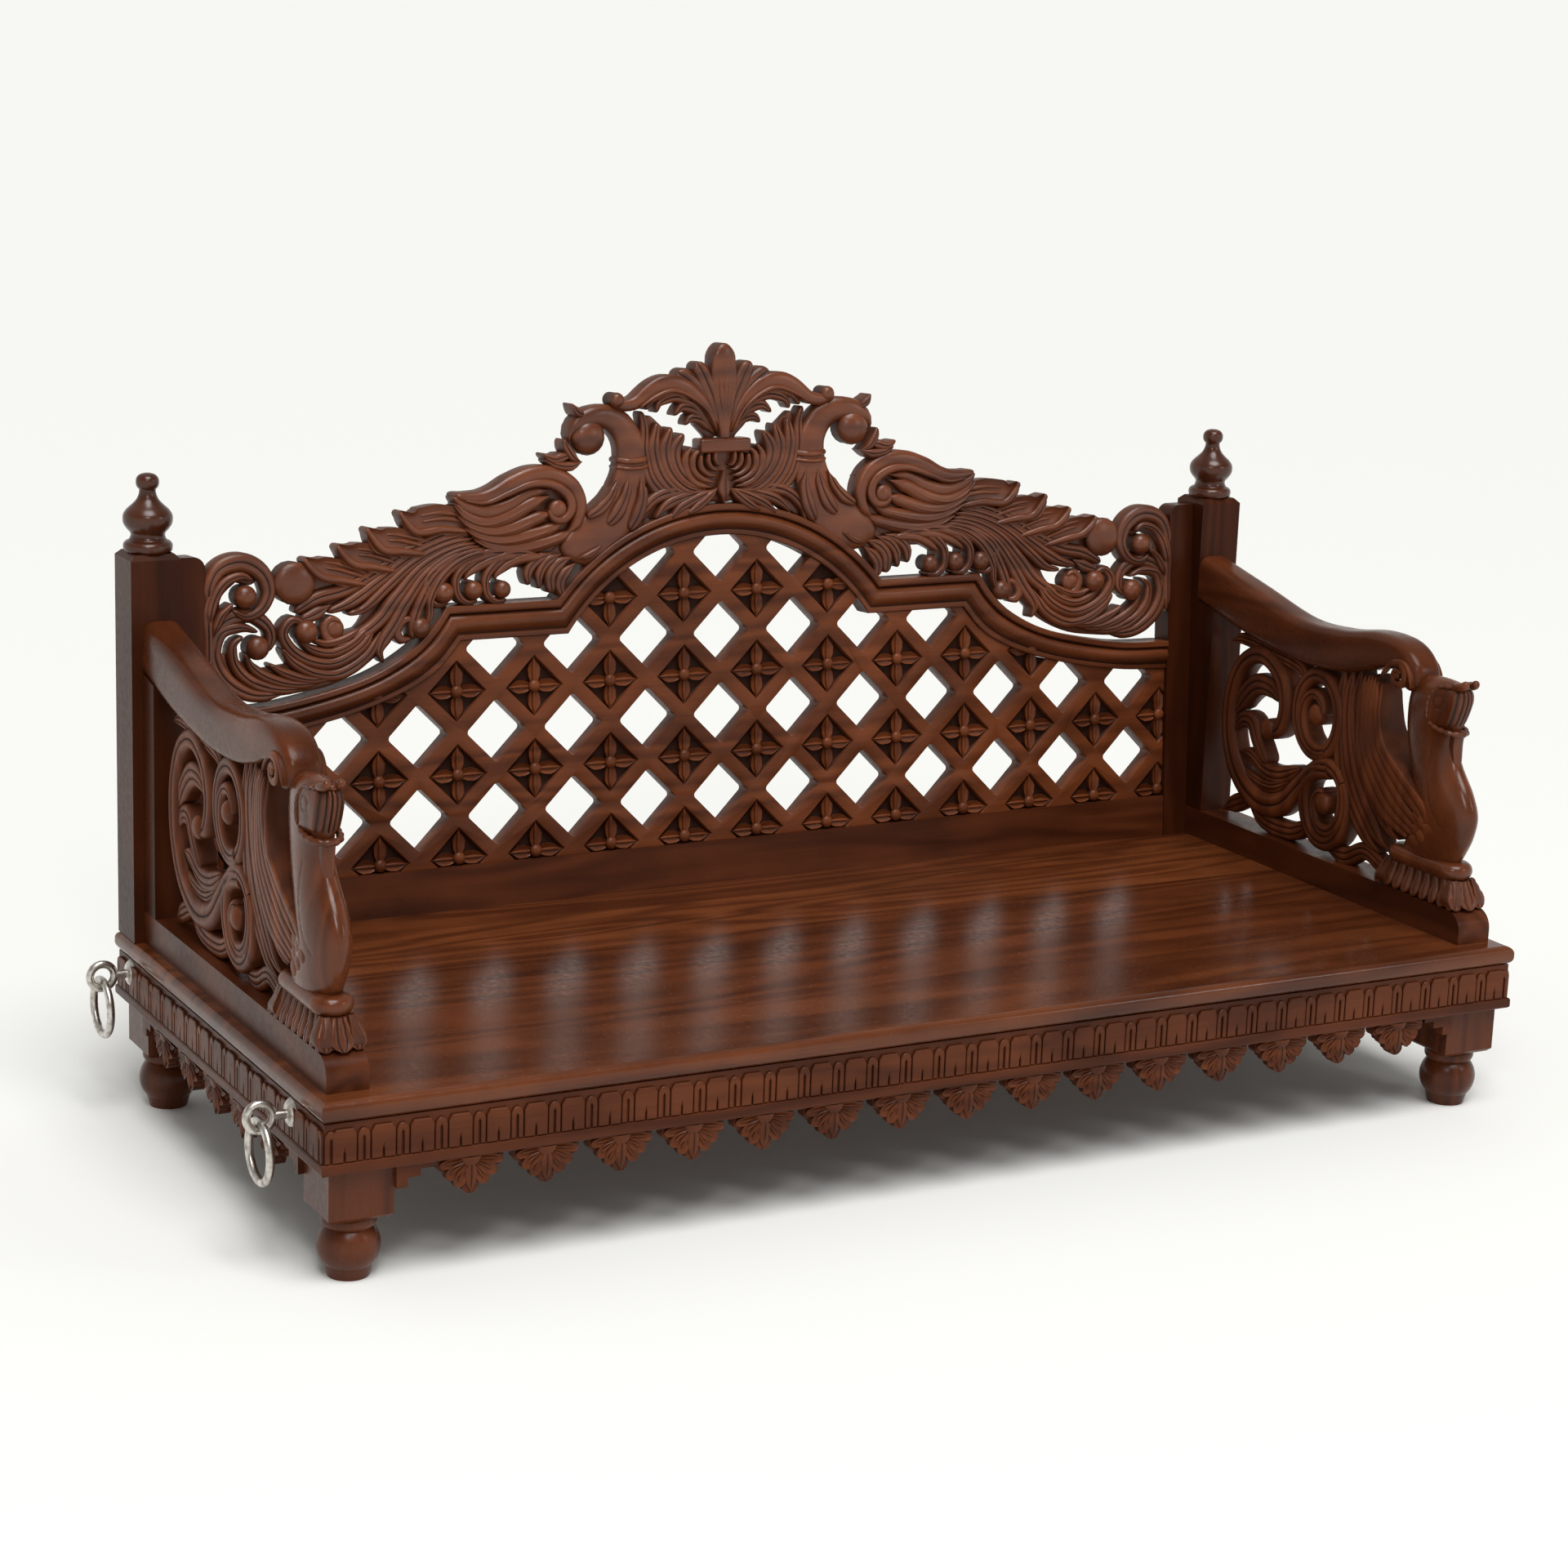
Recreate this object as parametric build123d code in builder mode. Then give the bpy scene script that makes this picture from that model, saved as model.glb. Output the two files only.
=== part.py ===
"""Carved jhoola: a swing seat with a latticed back, scrolled arms and four hanging rings.

Frame: X along the seat, Y towards the back, Z up. The origin is on the floor, under the
middle of the seat. All sizes are in millimetres.
"""
from build123d import *
from math import asin, cos, degrees, hypot, radians, sin, sqrt
import os

# ---------------------------------------------------------------- driving dimensions

# Seat deck
seat_length = 1500.0
seat_depth = 660.0
seat_height = 200.0
plank_count = 5
plank_thickness = 22.0
plank_nose = 9.0

# Apron boards with a bead along the foot
apron_height = 54.0
apron_thickness = 22.0
frieze_setback = 4.0
bead_height = 13.0
bead_radius = 3.5

# Pendants below the aprons
pendant_width = 72.0
pendant_drop = 40.0
pendant_pitch = 84.0
pendant_thickness = 14.0
pendant_setback = 6.0
front_pendants = 15
side_pendants = 5
corner_bracket_run = 40.0

# Legs
leg_block = 70.0
leg_inset = 8.0
block_height = 56.0
block_chamfer = 4.0
foot_radius = 21.5
ankle_radius = 25.0
bulb_radius = 33.0
neck_radius = 29.0

# Battens under the deck
batten_width = 60.0
batten_spacing = 450.0

# Back posts and finials
post_size = 58.0
post_height = 443.0
post_side_inset = 4.0
post_back_inset = 2.0
post_chamfer = 6.0
post_tenon = 30.0
finial_height = 90.5
finial_ball = 12.7
finial_neck = 8.5
finial_pin_radius = 7.0
finial_pin_length = 22.0
pin_clearance = 0.05
hole_end_gap = 2.0

# Leaning back
back_lean = 4.0
back_forward = 1.0
panel_thickness = 24.0
stile_width = 35.0
stile_height = 435.0
stile_proud = 6.0
stile_round = 14.0
rail_height = 52.0
rail_proud = 4.0

# Lattice
hole_pitch = 99.4
hole_half = 39.0
hole_round = 5.0
first_flower = 61.0
holes_each_way = (6, 6, 3, 1)

# Arch moulding
arch_centre = 180.0
arch_inner_radius = 248.0
arch_outer_radius = 286.0
step_inner_height = 320.0
step_outer_height = 362.0
step_inner_reach = 343.0
step_corner_lead = 20.0
step_outer_reach = step_inner_reach + step_corner_lead
shoulder_inner_height = 221.0
shoulder_outer_height = 258.0
moulding_proud = 8.0
moulding_behind = 26.0

# Crest boards
crest_behind = 14.0
crest_proud = 10.0
crest_joint = 97.0

# Arms
arm_width = 46.0
arm_rail_height = 37.0
arm_front_setback = 30.0
arm_rail_round = 22.0
arm_stile_width = 38.0
arm_edge_round = 10.0
scroll_thickness = 30.0
scroll_ring_radius = 50.0
scroll_ring_bore = 29.0
scroll_eye_radius = 15.0

# Swans on the arm fronts
lotus_height = 31.0
collar_height = 22.0
swan_gap = 0.5

# Hanging hardware
eye_past_leg = 13.0
eye_out = 30.0
eye_height = 161.5
eye_outside = 37.0
eye_wire = 9.0
shank_radius = 5.0
shank_clearance = 0.05
rosette_radius = 16.0
rosette_height = 6.0
washer_radius = 12.0
washer_thickness = 2.0
nut_width = 17.0
nut_thickness = 8.0
shank_past_nut = 3.0
ring_outside = 72.0
ring_wire = 9.0
ring_play = 0.2

# ---------------------------------------------------------------- positions that follow

deck_under = seat_height - plank_thickness
apron_foot = deck_under - apron_height
frieze_x = seat_length / 2 - frieze_setback
frieze_y = seat_depth / 2 - frieze_setback
apron_in_x = frieze_x - apron_thickness
apron_in_y = frieze_y - apron_thickness
leg_x = frieze_x - leg_inset - leg_block / 2
leg_y = frieze_y - leg_inset - leg_block / 2
leg_in_x = leg_x - leg_block / 2
leg_in_y = leg_y - leg_block / 2
block_foot = apron_foot - block_height
post_x = seat_length / 2 - post_side_inset - post_size / 2
post_y = seat_depth / 2 - post_back_inset - post_size / 2
post_in_x = post_x - post_size / 2
post_front_y = post_y - post_size / 2
stile_in_x = post_in_x - stile_width
plank_width = seat_depth / plank_count

eye_front = eye_past_leg - leg_in_y
eye_rear = leg_y

# The back leans about its front face at deck level. Local x runs along the seat, local y
# up the slope and local z to the front.
back_plane = Plane(
    origin=(0, post_front_y - back_forward, seat_height),
    x_dir=(1, 0, 0),
    z_dir=(0, -cos(radians(back_lean)), sin(radians(back_lean))),
)
deck_plane = Plane.XY.offset(seat_height)

# The arm profiles are drawn from the side: local x runs from back to front, local y up.
arm_in_x = post_in_x
arm_x = arm_in_x + arm_width / 2
arm_back = -post_front_y
arm_front = seat_depth / 2 - arm_front_setback
arm_floor = seat_height + arm_rail_height

# Carved outlines are written for these lengths and are spread to fit the real ones.
drawn_back = (653.0, 466.0)
drawn_arm = (-270.0, 300.0)
back_spread = stile_in_x / drawn_back[0]
back_rise = (arch_centre + arch_outer_radius) / drawn_back[1]
arm_spread = (arm_front - arm_back) / (drawn_arm[1] - drawn_arm[0])


def side_plane(x):
    """Plane across the seat at -x, looking outwards on the left arm."""
    return Plane(origin=(-x, 0, 0), x_dir=(0, -1, 0), z_dir=(-1, 0, 0))


def save(part, name):
    """Label a finished piece and write it."""
    part.label = name
    export_step(part, f"parts/{name}.step")


def save_pair(part, name):
    """Write a piece of the left side and its mirror image on the right."""
    save(part, f"{name}_left")
    save(mirror(part, about=Plane.YZ), f"{name}_right")


def ribbon(spine, widths):
    """Add a leaf or scroll band to the open sketch: widths spread evenly along a spine."""
    centre = Edge.make_spline([Vector(*point) for point in spine])
    last = len(widths) - 1
    left = []
    right = []
    for i, width in enumerate(widths):
        at = centre.position_at(i / last)
        across = centre.tangent_at(i / last).rotate(Axis.Z, 90) * (width / 2)
        left.append(at + across)
        right.append(at - across)
    with BuildLine() as outline:
        one = Spline(*left)
        other = Spline(*right)
        Line(one @ 0, other @ 0)
        Line(one @ 1, other @ 1)
    make_face(outline.edges())


def disc(centre, radius):
    """Add a round boss to the open sketch."""
    with Locations(centre):
        Circle(radius)


def wide(*points):
    """Places on the back, spread to its width and to the height of the arch."""
    return [(x * back_spread, y * back_rise) for x, y in points]


def leaf(spine, widths):
    """Add a band of the back's carving to the open sketch."""
    ribbon(wide(*spine), [width * (back_spread + back_rise) / 2 for width in widths])


def knob(centre, radius):
    """Add a boss of the back's carving to the open sketch."""
    disc(wide(centre)[0], radius * (back_spread + back_rise) / 2)


def along(*points):
    """Places on an arm, with heights from the deck, spread to its length."""
    return [(arm_back + (u - drawn_arm[0]) * arm_spread, seat_height + h) for u, h in points]


os.makedirs("parts", exist_ok=True)

# ---------------------------------------------------------------- seat deck

for i in range(plank_count):
    with BuildPart() as plank:
        with Locations((0, -seat_depth / 2 + (i + 0.5) * plank_width, seat_height)):
            Box(seat_length, plank_width, plank_thickness, align=(Align.CENTER, Align.CENTER, Align.MAX))
        ends = plank.faces().filter_by(Axis.X).edges().filter_by(Axis.Y)
        if i == 0:
            ends += plank.faces().sort_by(Axis.Y)[0].edges()
        if i == plank_count - 1:
            ends += plank.faces().sort_by(Axis.Y)[-1].edges()
            with Locations((-post_x, post_y, seat_height), (post_x, post_y, seat_height)):
                Box(post_tenon, post_tenon, plank_thickness,
                    align=(Align.CENTER, Align.CENTER, Align.MAX), mode=Mode.SUBTRACT)
        fillet(ends.filter_by(Axis.Z, reverse=True), plank_nose)
    save(plank.part, f"seat_plank_{i + 1}")

for i, x in enumerate((-batten_spacing, 0, batten_spacing)):
    with BuildPart() as batten:
        with Locations((x, 0, deck_under)):
            Box(batten_width, 2 * apron_in_y, plank_thickness, align=(Align.CENTER, Align.CENTER, Align.MAX))
    save(batten.part, f"seat_batten_{i + 1}")

# ---------------------------------------------------------------- aprons

sides = {
    "front": (0, seat_length / 2, frieze_y),
    "right": (90, seat_depth / 2, frieze_x),
    "rear": (180, seat_length / 2, frieze_y),
    "left": (270, seat_depth / 2, frieze_x),
}

for side, (turn, half_length, face) in sides.items():
    frame = Plane.XY.rotated((0, 0, turn))
    section = Plane(origin=frame.from_local_coords((-half_length, 0, 0)),
                    x_dir=frame.from_local_coords((0, 1, 0)), z_dir=frame.x_dir)
    bead_face = -face - frieze_setback
    with BuildPart() as apron:
        with BuildSketch(section):
            with BuildLine():
                Polyline(
                    (-face, deck_under),
                    (-face, apron_foot + bead_height),
                    (bead_face, apron_foot + bead_height),
                    (bead_face, apron_foot),
                    (apron_thickness - face, apron_foot),
                    (apron_thickness - face, deck_under),
                    close=True,
                )
            make_face()
            fillet(vertices().group_by(Axis.X)[0], bead_radius)
        extrude(amount=2 * half_length)
        for end in (-1, 1):
            mitre = Plane(origin=frame.from_local_coords((end * half_length, bead_face, 0)),
                          z_dir=frame.from_local_coords((end, 1, 0)))
            split(bisect_by=mitre, keep=Keep.BOTTOM)
        if side in ("left", "right"):
            out = -1 if side == "left" else 1
            for y in (eye_front, eye_rear):
                with Locations(Plane(origin=(out * frieze_x, y, eye_height), z_dir=(out, 0, 0))):
                    Hole(shank_radius + shank_clearance)
    save(apron.part, f"apron_{side}")

# ---------------------------------------------------------------- pendants

bracket_end = pendant_drop * 0.15
pendant_places = {
    "front": (front_pendants, leg_in_x),
    "right": (side_pendants, leg_in_y),
    "left": (side_pendants, leg_in_y),
}

for side, (count, clear_half) in pendant_places.items():
    turn, half_length, face = sides[side]
    frame = Plane.XY.rotated((0, 0, turn))
    front = -face - frieze_setback + pendant_setback
    board = Plane(origin=frame.from_local_coords((0, front, apron_foot)), x_dir=frame.x_dir,
                  z_dir=frame.from_local_coords((0, -1, 0)))
    with BuildPart() as valance:
        with BuildSketch(board):
            with Locations(*[((i - (count - 1) / 2) * pendant_pitch, 0) for i in range(count)]):
                with BuildSketch(mode=Mode.PRIVATE) as pendant:
                    with BuildLine():
                        lobes = ((0.5, 0), (0.5, -0.16), (0.38, -0.34), (0.25, -0.54), (0.12, -0.72))
                        tips = [(share * pendant_width, drop * pendant_drop) for share, drop in lobes]
                        Line(tips[0], tips[1])
                        for start, end in zip(tips[1:], tips[2:]):
                            RadiusArc(start, end, hypot(end[0] - start[0], end[1] - start[1]) * 0.6)
                        RadiusArc(tips[-1], (0, -pendant_drop), tips[-1][0])
                        mirror(about=Plane.YZ)
                        Line(tips[0], (-tips[0][0], 0))
                    make_face()
                add(pendant.sketch)
            for end in (-1, 1):
                with BuildLine() as bracket:
                    inner = clear_half - corner_bracket_run
                    Polyline(
                        (end * clear_half, 0),
                        (end * clear_half, -0.6 * pendant_drop),
                        (end * (clear_half - 0.3 * corner_bracket_run), -0.6 * pendant_drop),
                        (end * (clear_half - 0.3 * corner_bracket_run), -0.35 * pendant_drop),
                        (end * (clear_half - 0.65 * corner_bracket_run), -0.35 * pendant_drop),
                        (end * (clear_half - 0.65 * corner_bracket_run), -bracket_end),
                        (end * inner, -bracket_end),
                        (end * inner, 0),
                        close=True,
                    )
                make_face(bracket.edges())
        extrude(amount=-pendant_thickness)
    save(valance.part, f"valance_{side}")

# ---------------------------------------------------------------- legs

corners = {
    "front_left": (-1, -1),
    "front_right": (1, -1),
    "rear_left": (-1, 1),
    "rear_right": (1, 1),
}
bulb_height = block_foot * 0.49
neck_height = block_foot * 0.82

for corner, (way_x, way_y) in corners.items():
    with BuildPart() as leg:
        with Locations((way_x * leg_x, way_y * leg_y, block_foot)):
            Box(leg_block, leg_block, block_height, align=(Align.CENTER, Align.CENTER, Align.MIN))
        chamfer(leg.faces().sort_by(Axis.Z)[0].edges(), block_chamfer)
        with Locations((way_x * (leg_in_x + apron_in_x) / 2, way_y * (leg_in_y + apron_in_y) / 2, apron_foot)):
            Box(apron_in_x - leg_in_x, apron_in_y - leg_in_y, apron_height,
                align=(Align.CENTER, Align.CENTER, Align.MIN))
        with BuildSketch(Plane(origin=(way_x * leg_x, way_y * leg_y, 0), x_dir=(1, 0, 0), z_dir=(0, -1, 0))):
            with BuildLine():
                Line((0, block_foot), (0, 0))
                Line((0, 0), (foot_radius, 0))
                Line((foot_radius, 0), (ankle_radius, block_foot * 0.19))
                bulb = ThreePointArc(
                    (ankle_radius, block_foot * 0.19),
                    (bulb_radius, bulb_height),
                    (neck_radius * 0.86, neck_height * 0.96),
                )
                neck = ThreePointArc(
                    bulb @ 1,
                    (neck_radius, (neck_height + block_foot) / 2),
                    (neck_radius * 0.9, block_foot),
                )
                Line(neck @ 1, (0, block_foot))
            make_face()
        revolve(axis=Axis((way_x * leg_x, way_y * leg_y, 0), (0, 0, 1)))
        if way_y > 0:
            with Locations(Plane(origin=(way_x * apron_in_x, eye_rear, eye_height), z_dir=(way_x, 0, 0))):
                Hole(shank_radius + shank_clearance)
    save(leg.part, f"leg_{corner}")

# ---------------------------------------------------------------- back posts and finials

with BuildPart() as post:
    with Locations((-post_x, post_y, seat_height)):
        Box(post_size, post_size, post_height, align=(Align.CENTER, Align.CENTER, Align.MIN))
    chamfer(post.faces().sort_by(Axis.Z)[-1].edges(), post_chamfer)
    with Locations((-post_x, post_y, seat_height)):
        Box(post_tenon, post_tenon, plank_thickness, align=(Align.CENTER, Align.CENTER, Align.MAX))
    with Locations((-post_x, post_y, seat_height + post_height)):
        Hole(finial_pin_radius + pin_clearance, depth=finial_pin_length + hole_end_gap)
save_pair(post.part, "back_post")

# Radius and height of the middle and the end of each bead and cove, from the foot up
finial_turning = (
    ((27.5, 6), (22, 12)),
    ((19, 20), (21.5, 29)),
    ((28, 40), (19, 51)),
    ((16.5, 55), (13, 58)),
    ((14, 61), (9.5, 64)),
    ((8, 66), (finial_neck, finial_height - finial_ball - sqrt(finial_ball**2 - finial_neck**2))),
    ((finial_ball, finial_height - finial_ball), (0, finial_height)),
)
post_top = seat_height + post_height
with BuildPart() as finial:
    with BuildSketch(Plane(origin=(-post_x, post_y, post_top), x_dir=(1, 0, 0), z_dir=(0, -1, 0))):
        with BuildLine():
            start = (24.5, 0)
            Polyline((0, finial_height), (0, 0), start)
            for middle, end in finial_turning:
                ThreePointArc(start, middle, end)
                start = end
        make_face()
    revolve(axis=Axis((-post_x, post_y, 0), (0, 0, 1)))
    with Locations((-post_x, post_y, post_top)):
        Cylinder(finial_pin_radius, finial_pin_length, align=(Align.CENTER, Align.CENTER, Align.MAX))
save_pair(finial.part, "finial")

# ---------------------------------------------------------------- leaning back


def arch_edge(arch_radius, step_height, step_reach, shoulder_height, shoulder):
    """Add the area below one edge of the arch moulding to the open sketch.

    The shoulder is given as shares of the run from the step to the stile and of its fall.
    """
    step_x = sqrt(arch_radius**2 - (step_height - arch_centre) ** 2)
    with BuildLine() as outline:
        arch = CenterArc((0, arch_centre), arch_radius, 90, -degrees(asin(step_x / arch_radius)))
        step = Line((step_x, step_height), (step_reach, step_height))
        run = stile_in_x - step_reach
        fall = step_height - shoulder_height
        slope_places = [(step_reach + run * out, step_height - fall * down) for out, down in shoulder]
        slope = Spline(step @ 1, *slope_places, (stile_in_x, shoulder_height), tangents=((0.55, -0.83), (1, 0)))
        side = Line(slope @ 1, (stile_in_x, 0))
        base = Line(side @ 1, (0, 0))
        mirror(about=Plane.YZ)
    make_face(outline.edges())


def below_outer_edge():
    """Area under the top edge of the moulding."""
    arch_edge(arch_outer_radius, step_outer_height, step_outer_reach, shoulder_outer_height,
              ((0.0586, 0.2308), (0.1690, 0.5000), (0.3690, 0.7596), (0.7138, 0.9615)))


def below_inner_edge():
    """Area under the bottom edge of the moulding."""
    arch_edge(arch_inner_radius, step_inner_height, step_inner_reach, shoulder_inner_height,
              ((0.0903, 0.3131), (0.2258, 0.5556), (0.4677, 0.7980), (0.7645, 0.9596)))


with BuildPart() as stile:
    with BuildSketch(back_plane.offset(-panel_thickness)):
        with BuildLine():
            Polyline(
                (-post_in_x, -plank_thickness),
                (-post_in_x, stile_height),
                (-stile_in_x, stile_height),
                (-stile_in_x, -plank_thickness),
                close=True,
            )
        make_face()
        fillet(vertices().group_by(Axis.Y)[-1].sort_by(Axis.X)[-1], stile_round)
    extrude(amount=panel_thickness + stile_proud)
    split(bisect_by=deck_plane, keep=Keep.TOP)
save_pair(stile.part, "back_stile")

with BuildPart() as back_rail:
    with BuildSketch(back_plane.offset(-panel_thickness)):
        with Locations((0, rail_height)):
            Rectangle(2 * stile_in_x, rail_height + plank_thickness, align=(Align.CENTER, Align.MAX))
    extrude(amount=panel_thickness + rail_proud)
    split(bisect_by=deck_plane, keep=Keep.TOP)
save(back_rail.part, "back_bottom_rail")

with BuildPart() as lattice:
    with BuildSketch(back_plane.offset(-panel_thickness)):
        below_inner_edge()
        with Locations((0, rail_height)):
            Rectangle(2 * stile_in_x, rail_height, align=(Align.CENTER, Align.MAX), mode=Mode.SUBTRACT)
        with BuildSketch(mode=Mode.PRIVATE) as hole:
            Rectangle(sqrt(2) * hole_half, sqrt(2) * hole_half, rotation=45)
            fillet(hole.vertices(), hole_round)
        for row, reach in enumerate(holes_each_way):
            centre_y = first_flower + (row + 0.5) * hole_pitch
            with Locations(*[(i * hole_pitch, centre_y) for i in range(-reach, reach + 1)]):
                add(hole.sketch, mode=Mode.SUBTRACT)
    extrude(amount=panel_thickness)
save(lattice.part, "lattice_panel")

with BuildPart() as moulding:
    with BuildSketch(back_plane.offset(-moulding_behind)) as band:
        below_outer_edge()
        with BuildSketch(mode=Mode.PRIVATE) as opening:
            below_inner_edge()
        add(opening.sketch, mode=Mode.SUBTRACT)
    extrude(amount=moulding_behind + moulding_proud)
save(moulding.part, "arch_moulding")

# ---------------------------------------------------------------- crest

wing = wide((172, 478), (182, 502), (205, 515), (240, 520), (272, 508), (305, 488), (334, 494), (345, 482),
            (338, 462), (322, 436), (292, 420), (245, 418), (200, 424), (180, 448))


def crest_side():
    """Peacock, wing, tail feathers and corner scrolls of the right half."""
    # Neck, head, ear tuft and the leaf in the beak
    leaf(((205, 418), (165, 438), (132, 468), (119, 508), (119, 545), (140, 570), (165, 570), (178, 555)),
           (70, 70, 56, 38, 36, 36, 46, 50))
    knob((177, 556), 26)
    leaf(((158, 580), (175, 585), (194, 584)), (12, 13, 6))
    leaf(((188, 545), (203, 530), (226, 526)), (34, 26, 10))
    # Folded wing
    with BuildLine() as outline:
        Spline(*wing, periodic=True)
    make_face(outline.edges())
    # Tail with the round tips of its upper feathers, and the ball behind it
    leaf(((190, 430), (260, 425), (330, 430), (400, 418), (460, 400), (520, 385), (556, 375)),
           (50, 70, 90, 92, 80, 62, 40))
    for tip in ((360, 464), (391, 458), (434, 443), (476, 424), (517, 408)):
        knob(tip, 14)
    knob((547, 398), 22)
    # Leaf that sweeps down from the tail and curls up into the lower corner scroll
    leaf(((425, 395), (440, 345), (478, 303), (540, 284), (600, 284), (634, 312), (618, 343), (590, 345)),
           (60, 58, 46, 36, 36, 36, 26, 20))
    knob((594, 324), 15)
    # Upper corner scroll against the stile
    leaf(((650, 300), (646, 350), (640, 385), (615, 412), (583, 402), (584, 372), (604, 362)),
           (14, 24, 30, 36, 32, 22, 16))
    knob((610, 384), 14)
    leaf(((610, 410), (632, 408), (653, 404)), (30, 30, 28))
    # Small scrolls that stand on the step of the moulding
    for foot in (255, 292, 330, 366):
        leaf(((foot - 45, 418), (foot - 8, 405), (foot + 6, 380)), (30, 26, 16))
        knob((foot, 374), 13)
    leaf(((205, 415), (225, 400), (235, 378)), (30, 24, 12))
    leaf(((400, 385), (424, 358), (415, 330), (398, 326)), (34, 30, 22, 14))
    knob((395, 336), 14)
    leaf(((420, 380), (440, 345), (438, 300)), (34, 30, 6))
    leaf(((470, 318), (515, 312), (548, 322), (553, 345), (535, 354)), (26, 24, 24, 22, 16))
    knob((530, 337), 14)
    leaf(((450, 330), (480, 330), (503, 343)), (20, 26, 16))


def crest_middle():
    """Palmette, S-scroll, collar and acanthus leaves of the right half."""
    knob((0, 638), 22)
    knob((32, 627), 15)
    knob((52, 617), 12)
    leaf(((0, 545), (12, 580), (25, 612)), (40, 60, 60))
    leaf(((14, 560), (36, 596), (66, 608), (100, 598), (128, 588), (146, 589)), (24, 34, 36, 32, 26, 18))
    knob((136, 592), 13)
    leaf(((30, 590), (60, 588), (80, 578)), (20, 16, 8))
    with Locations(wide((0, 538))[0]):
        SlotOverall(66 * back_spread, 18 * back_rise)
    leaf(((6, 508), (40, 500), (72, 520), (88, 552), (98, 585)), (52, 44, 58, 48, 26))
    leaf(((0, 488), (50, 480), (92, 465), (114, 442)), (44, 36, 30, 14))


with BuildSketch() as carving:
    crest_side()
    crest_middle()
    with BuildSketch(mode=Mode.PRIVATE) as below:
        below_outer_edge()
    add(below.sketch, mode=Mode.SUBTRACT)

with BuildPart() as crest_centre:
    with BuildSketch(back_plane.offset(-crest_behind)):
        add(carving.sketch)
        Rectangle(crest_joint, 4 * stile_height, align=(Align.MIN, Align.CENTER), mode=Mode.INTERSECT)
        mirror(about=Plane.YZ)
    extrude(amount=crest_behind + crest_proud)
save(crest_centre.part, "crest_centre")

with BuildPart() as crest_right:
    with BuildSketch(back_plane.offset(-crest_behind)):
        add(carving.sketch)
        with Locations((crest_joint, 0)):
            Rectangle(stile_in_x - crest_joint, 4 * stile_height, align=(Align.MIN, Align.CENTER),
                      mode=Mode.INTERSECT)
    extrude(amount=crest_behind + crest_proud)
save(crest_right.part, "crest_right")
save(mirror(crest_right.part, about=Plane.YZ), "crest_left")

# ---------------------------------------------------------------- arms

arm_top = along((-270, 369), (-168, 348), (-62, 326), (21, 328), (101, 339), (149, 332), (174, 318))
arm_under = along((117, 301), (64, 283), (-26, 272), (-131, 284), (-270, 311))
arm_nose = along((182, 308), (176, 303.6), (150, 303.6), (148, 290), (134, 277), (121, 288))


def arm_profile():
    """Side view of the armrest: a sagging board that rolls over at the front."""
    with BuildLine() as outline:
        top = Spline(*arm_top)
        nose = ThreePointArc(top @ 1, arm_nose[0], arm_nose[1])
        flat = Line(nose @ 1, arm_nose[2])
        roll = Spline(flat @ 1, *arm_nose[3:], arm_under[0])
        under = Spline(roll @ 1, *arm_under[1:])
        Line(under @ 1, top @ 0)
    make_face(outline.edges())


with BuildPart() as armrest:
    with BuildSketch(side_plane(arm_in_x)):
        arm_profile()
    extrude(amount=arm_width)
    fillet(armrest.faces().filter_by(Axis.X).edges().sort_by(Axis.Z)[-2:], arm_edge_round)
save_pair(armrest.part, "armrest")

with BuildPart() as arm_rail:
    with BuildSketch(side_plane(arm_in_x)):
        with Locations((arm_back, seat_height)):
            Rectangle(arm_front - arm_back, arm_rail_height, align=Align.MIN)
        fillet(vertices().group_by(Axis.Y)[-1].sort_by(Axis.X)[-1], arm_rail_round)
    extrude(amount=arm_width)
save_pair(arm_rail.part, "arm_base_rail")

with BuildPart() as arm_stile:
    with BuildSketch(side_plane(arm_in_x)):
        with Locations((arm_back, arm_floor)):
            Rectangle(arm_stile_width, stile_height, align=Align.MIN)
        with BuildSketch(mode=Mode.PRIVATE) as arm_board:
            arm_profile()
            with Locations((arm_back, arm_under[-1][1] + arm_edge_round)):
                Rectangle(arm_stile_width, stile_height, align=Align.MIN)
        add(arm_board.sketch, mode=Mode.SUBTRACT)
    extrude(amount=arm_width)
save_pair(arm_stile.part, "arm_stile")

# ---------------------------------------------------------------- swans

# Height from the deck, back, front and half width of the body, neck and head
swan_sections = (
    (90, 165, 262, 21),
    (112, 171, 274, 23),
    (140, 177, 281, 22.5),
    (170, 174, 266, 21),
    (203, 160, 245, 18),
    (233, 152, 238, 17),
    (258, 152, 252, 19),
    (282, 158, 256, 19),
    (299, 176, 248, 13),
    (302.5, 196, 230, 6),
)
lotus_top = arm_rail_height + lotus_height
collar_top = lotus_top + collar_height
collar_back, collar_front = (u for u, _ in along((144, 0), (276, 0)))
lotus_back, lotus_front = (u for u, _ in along((132, 0), (296, 0)))

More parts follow.
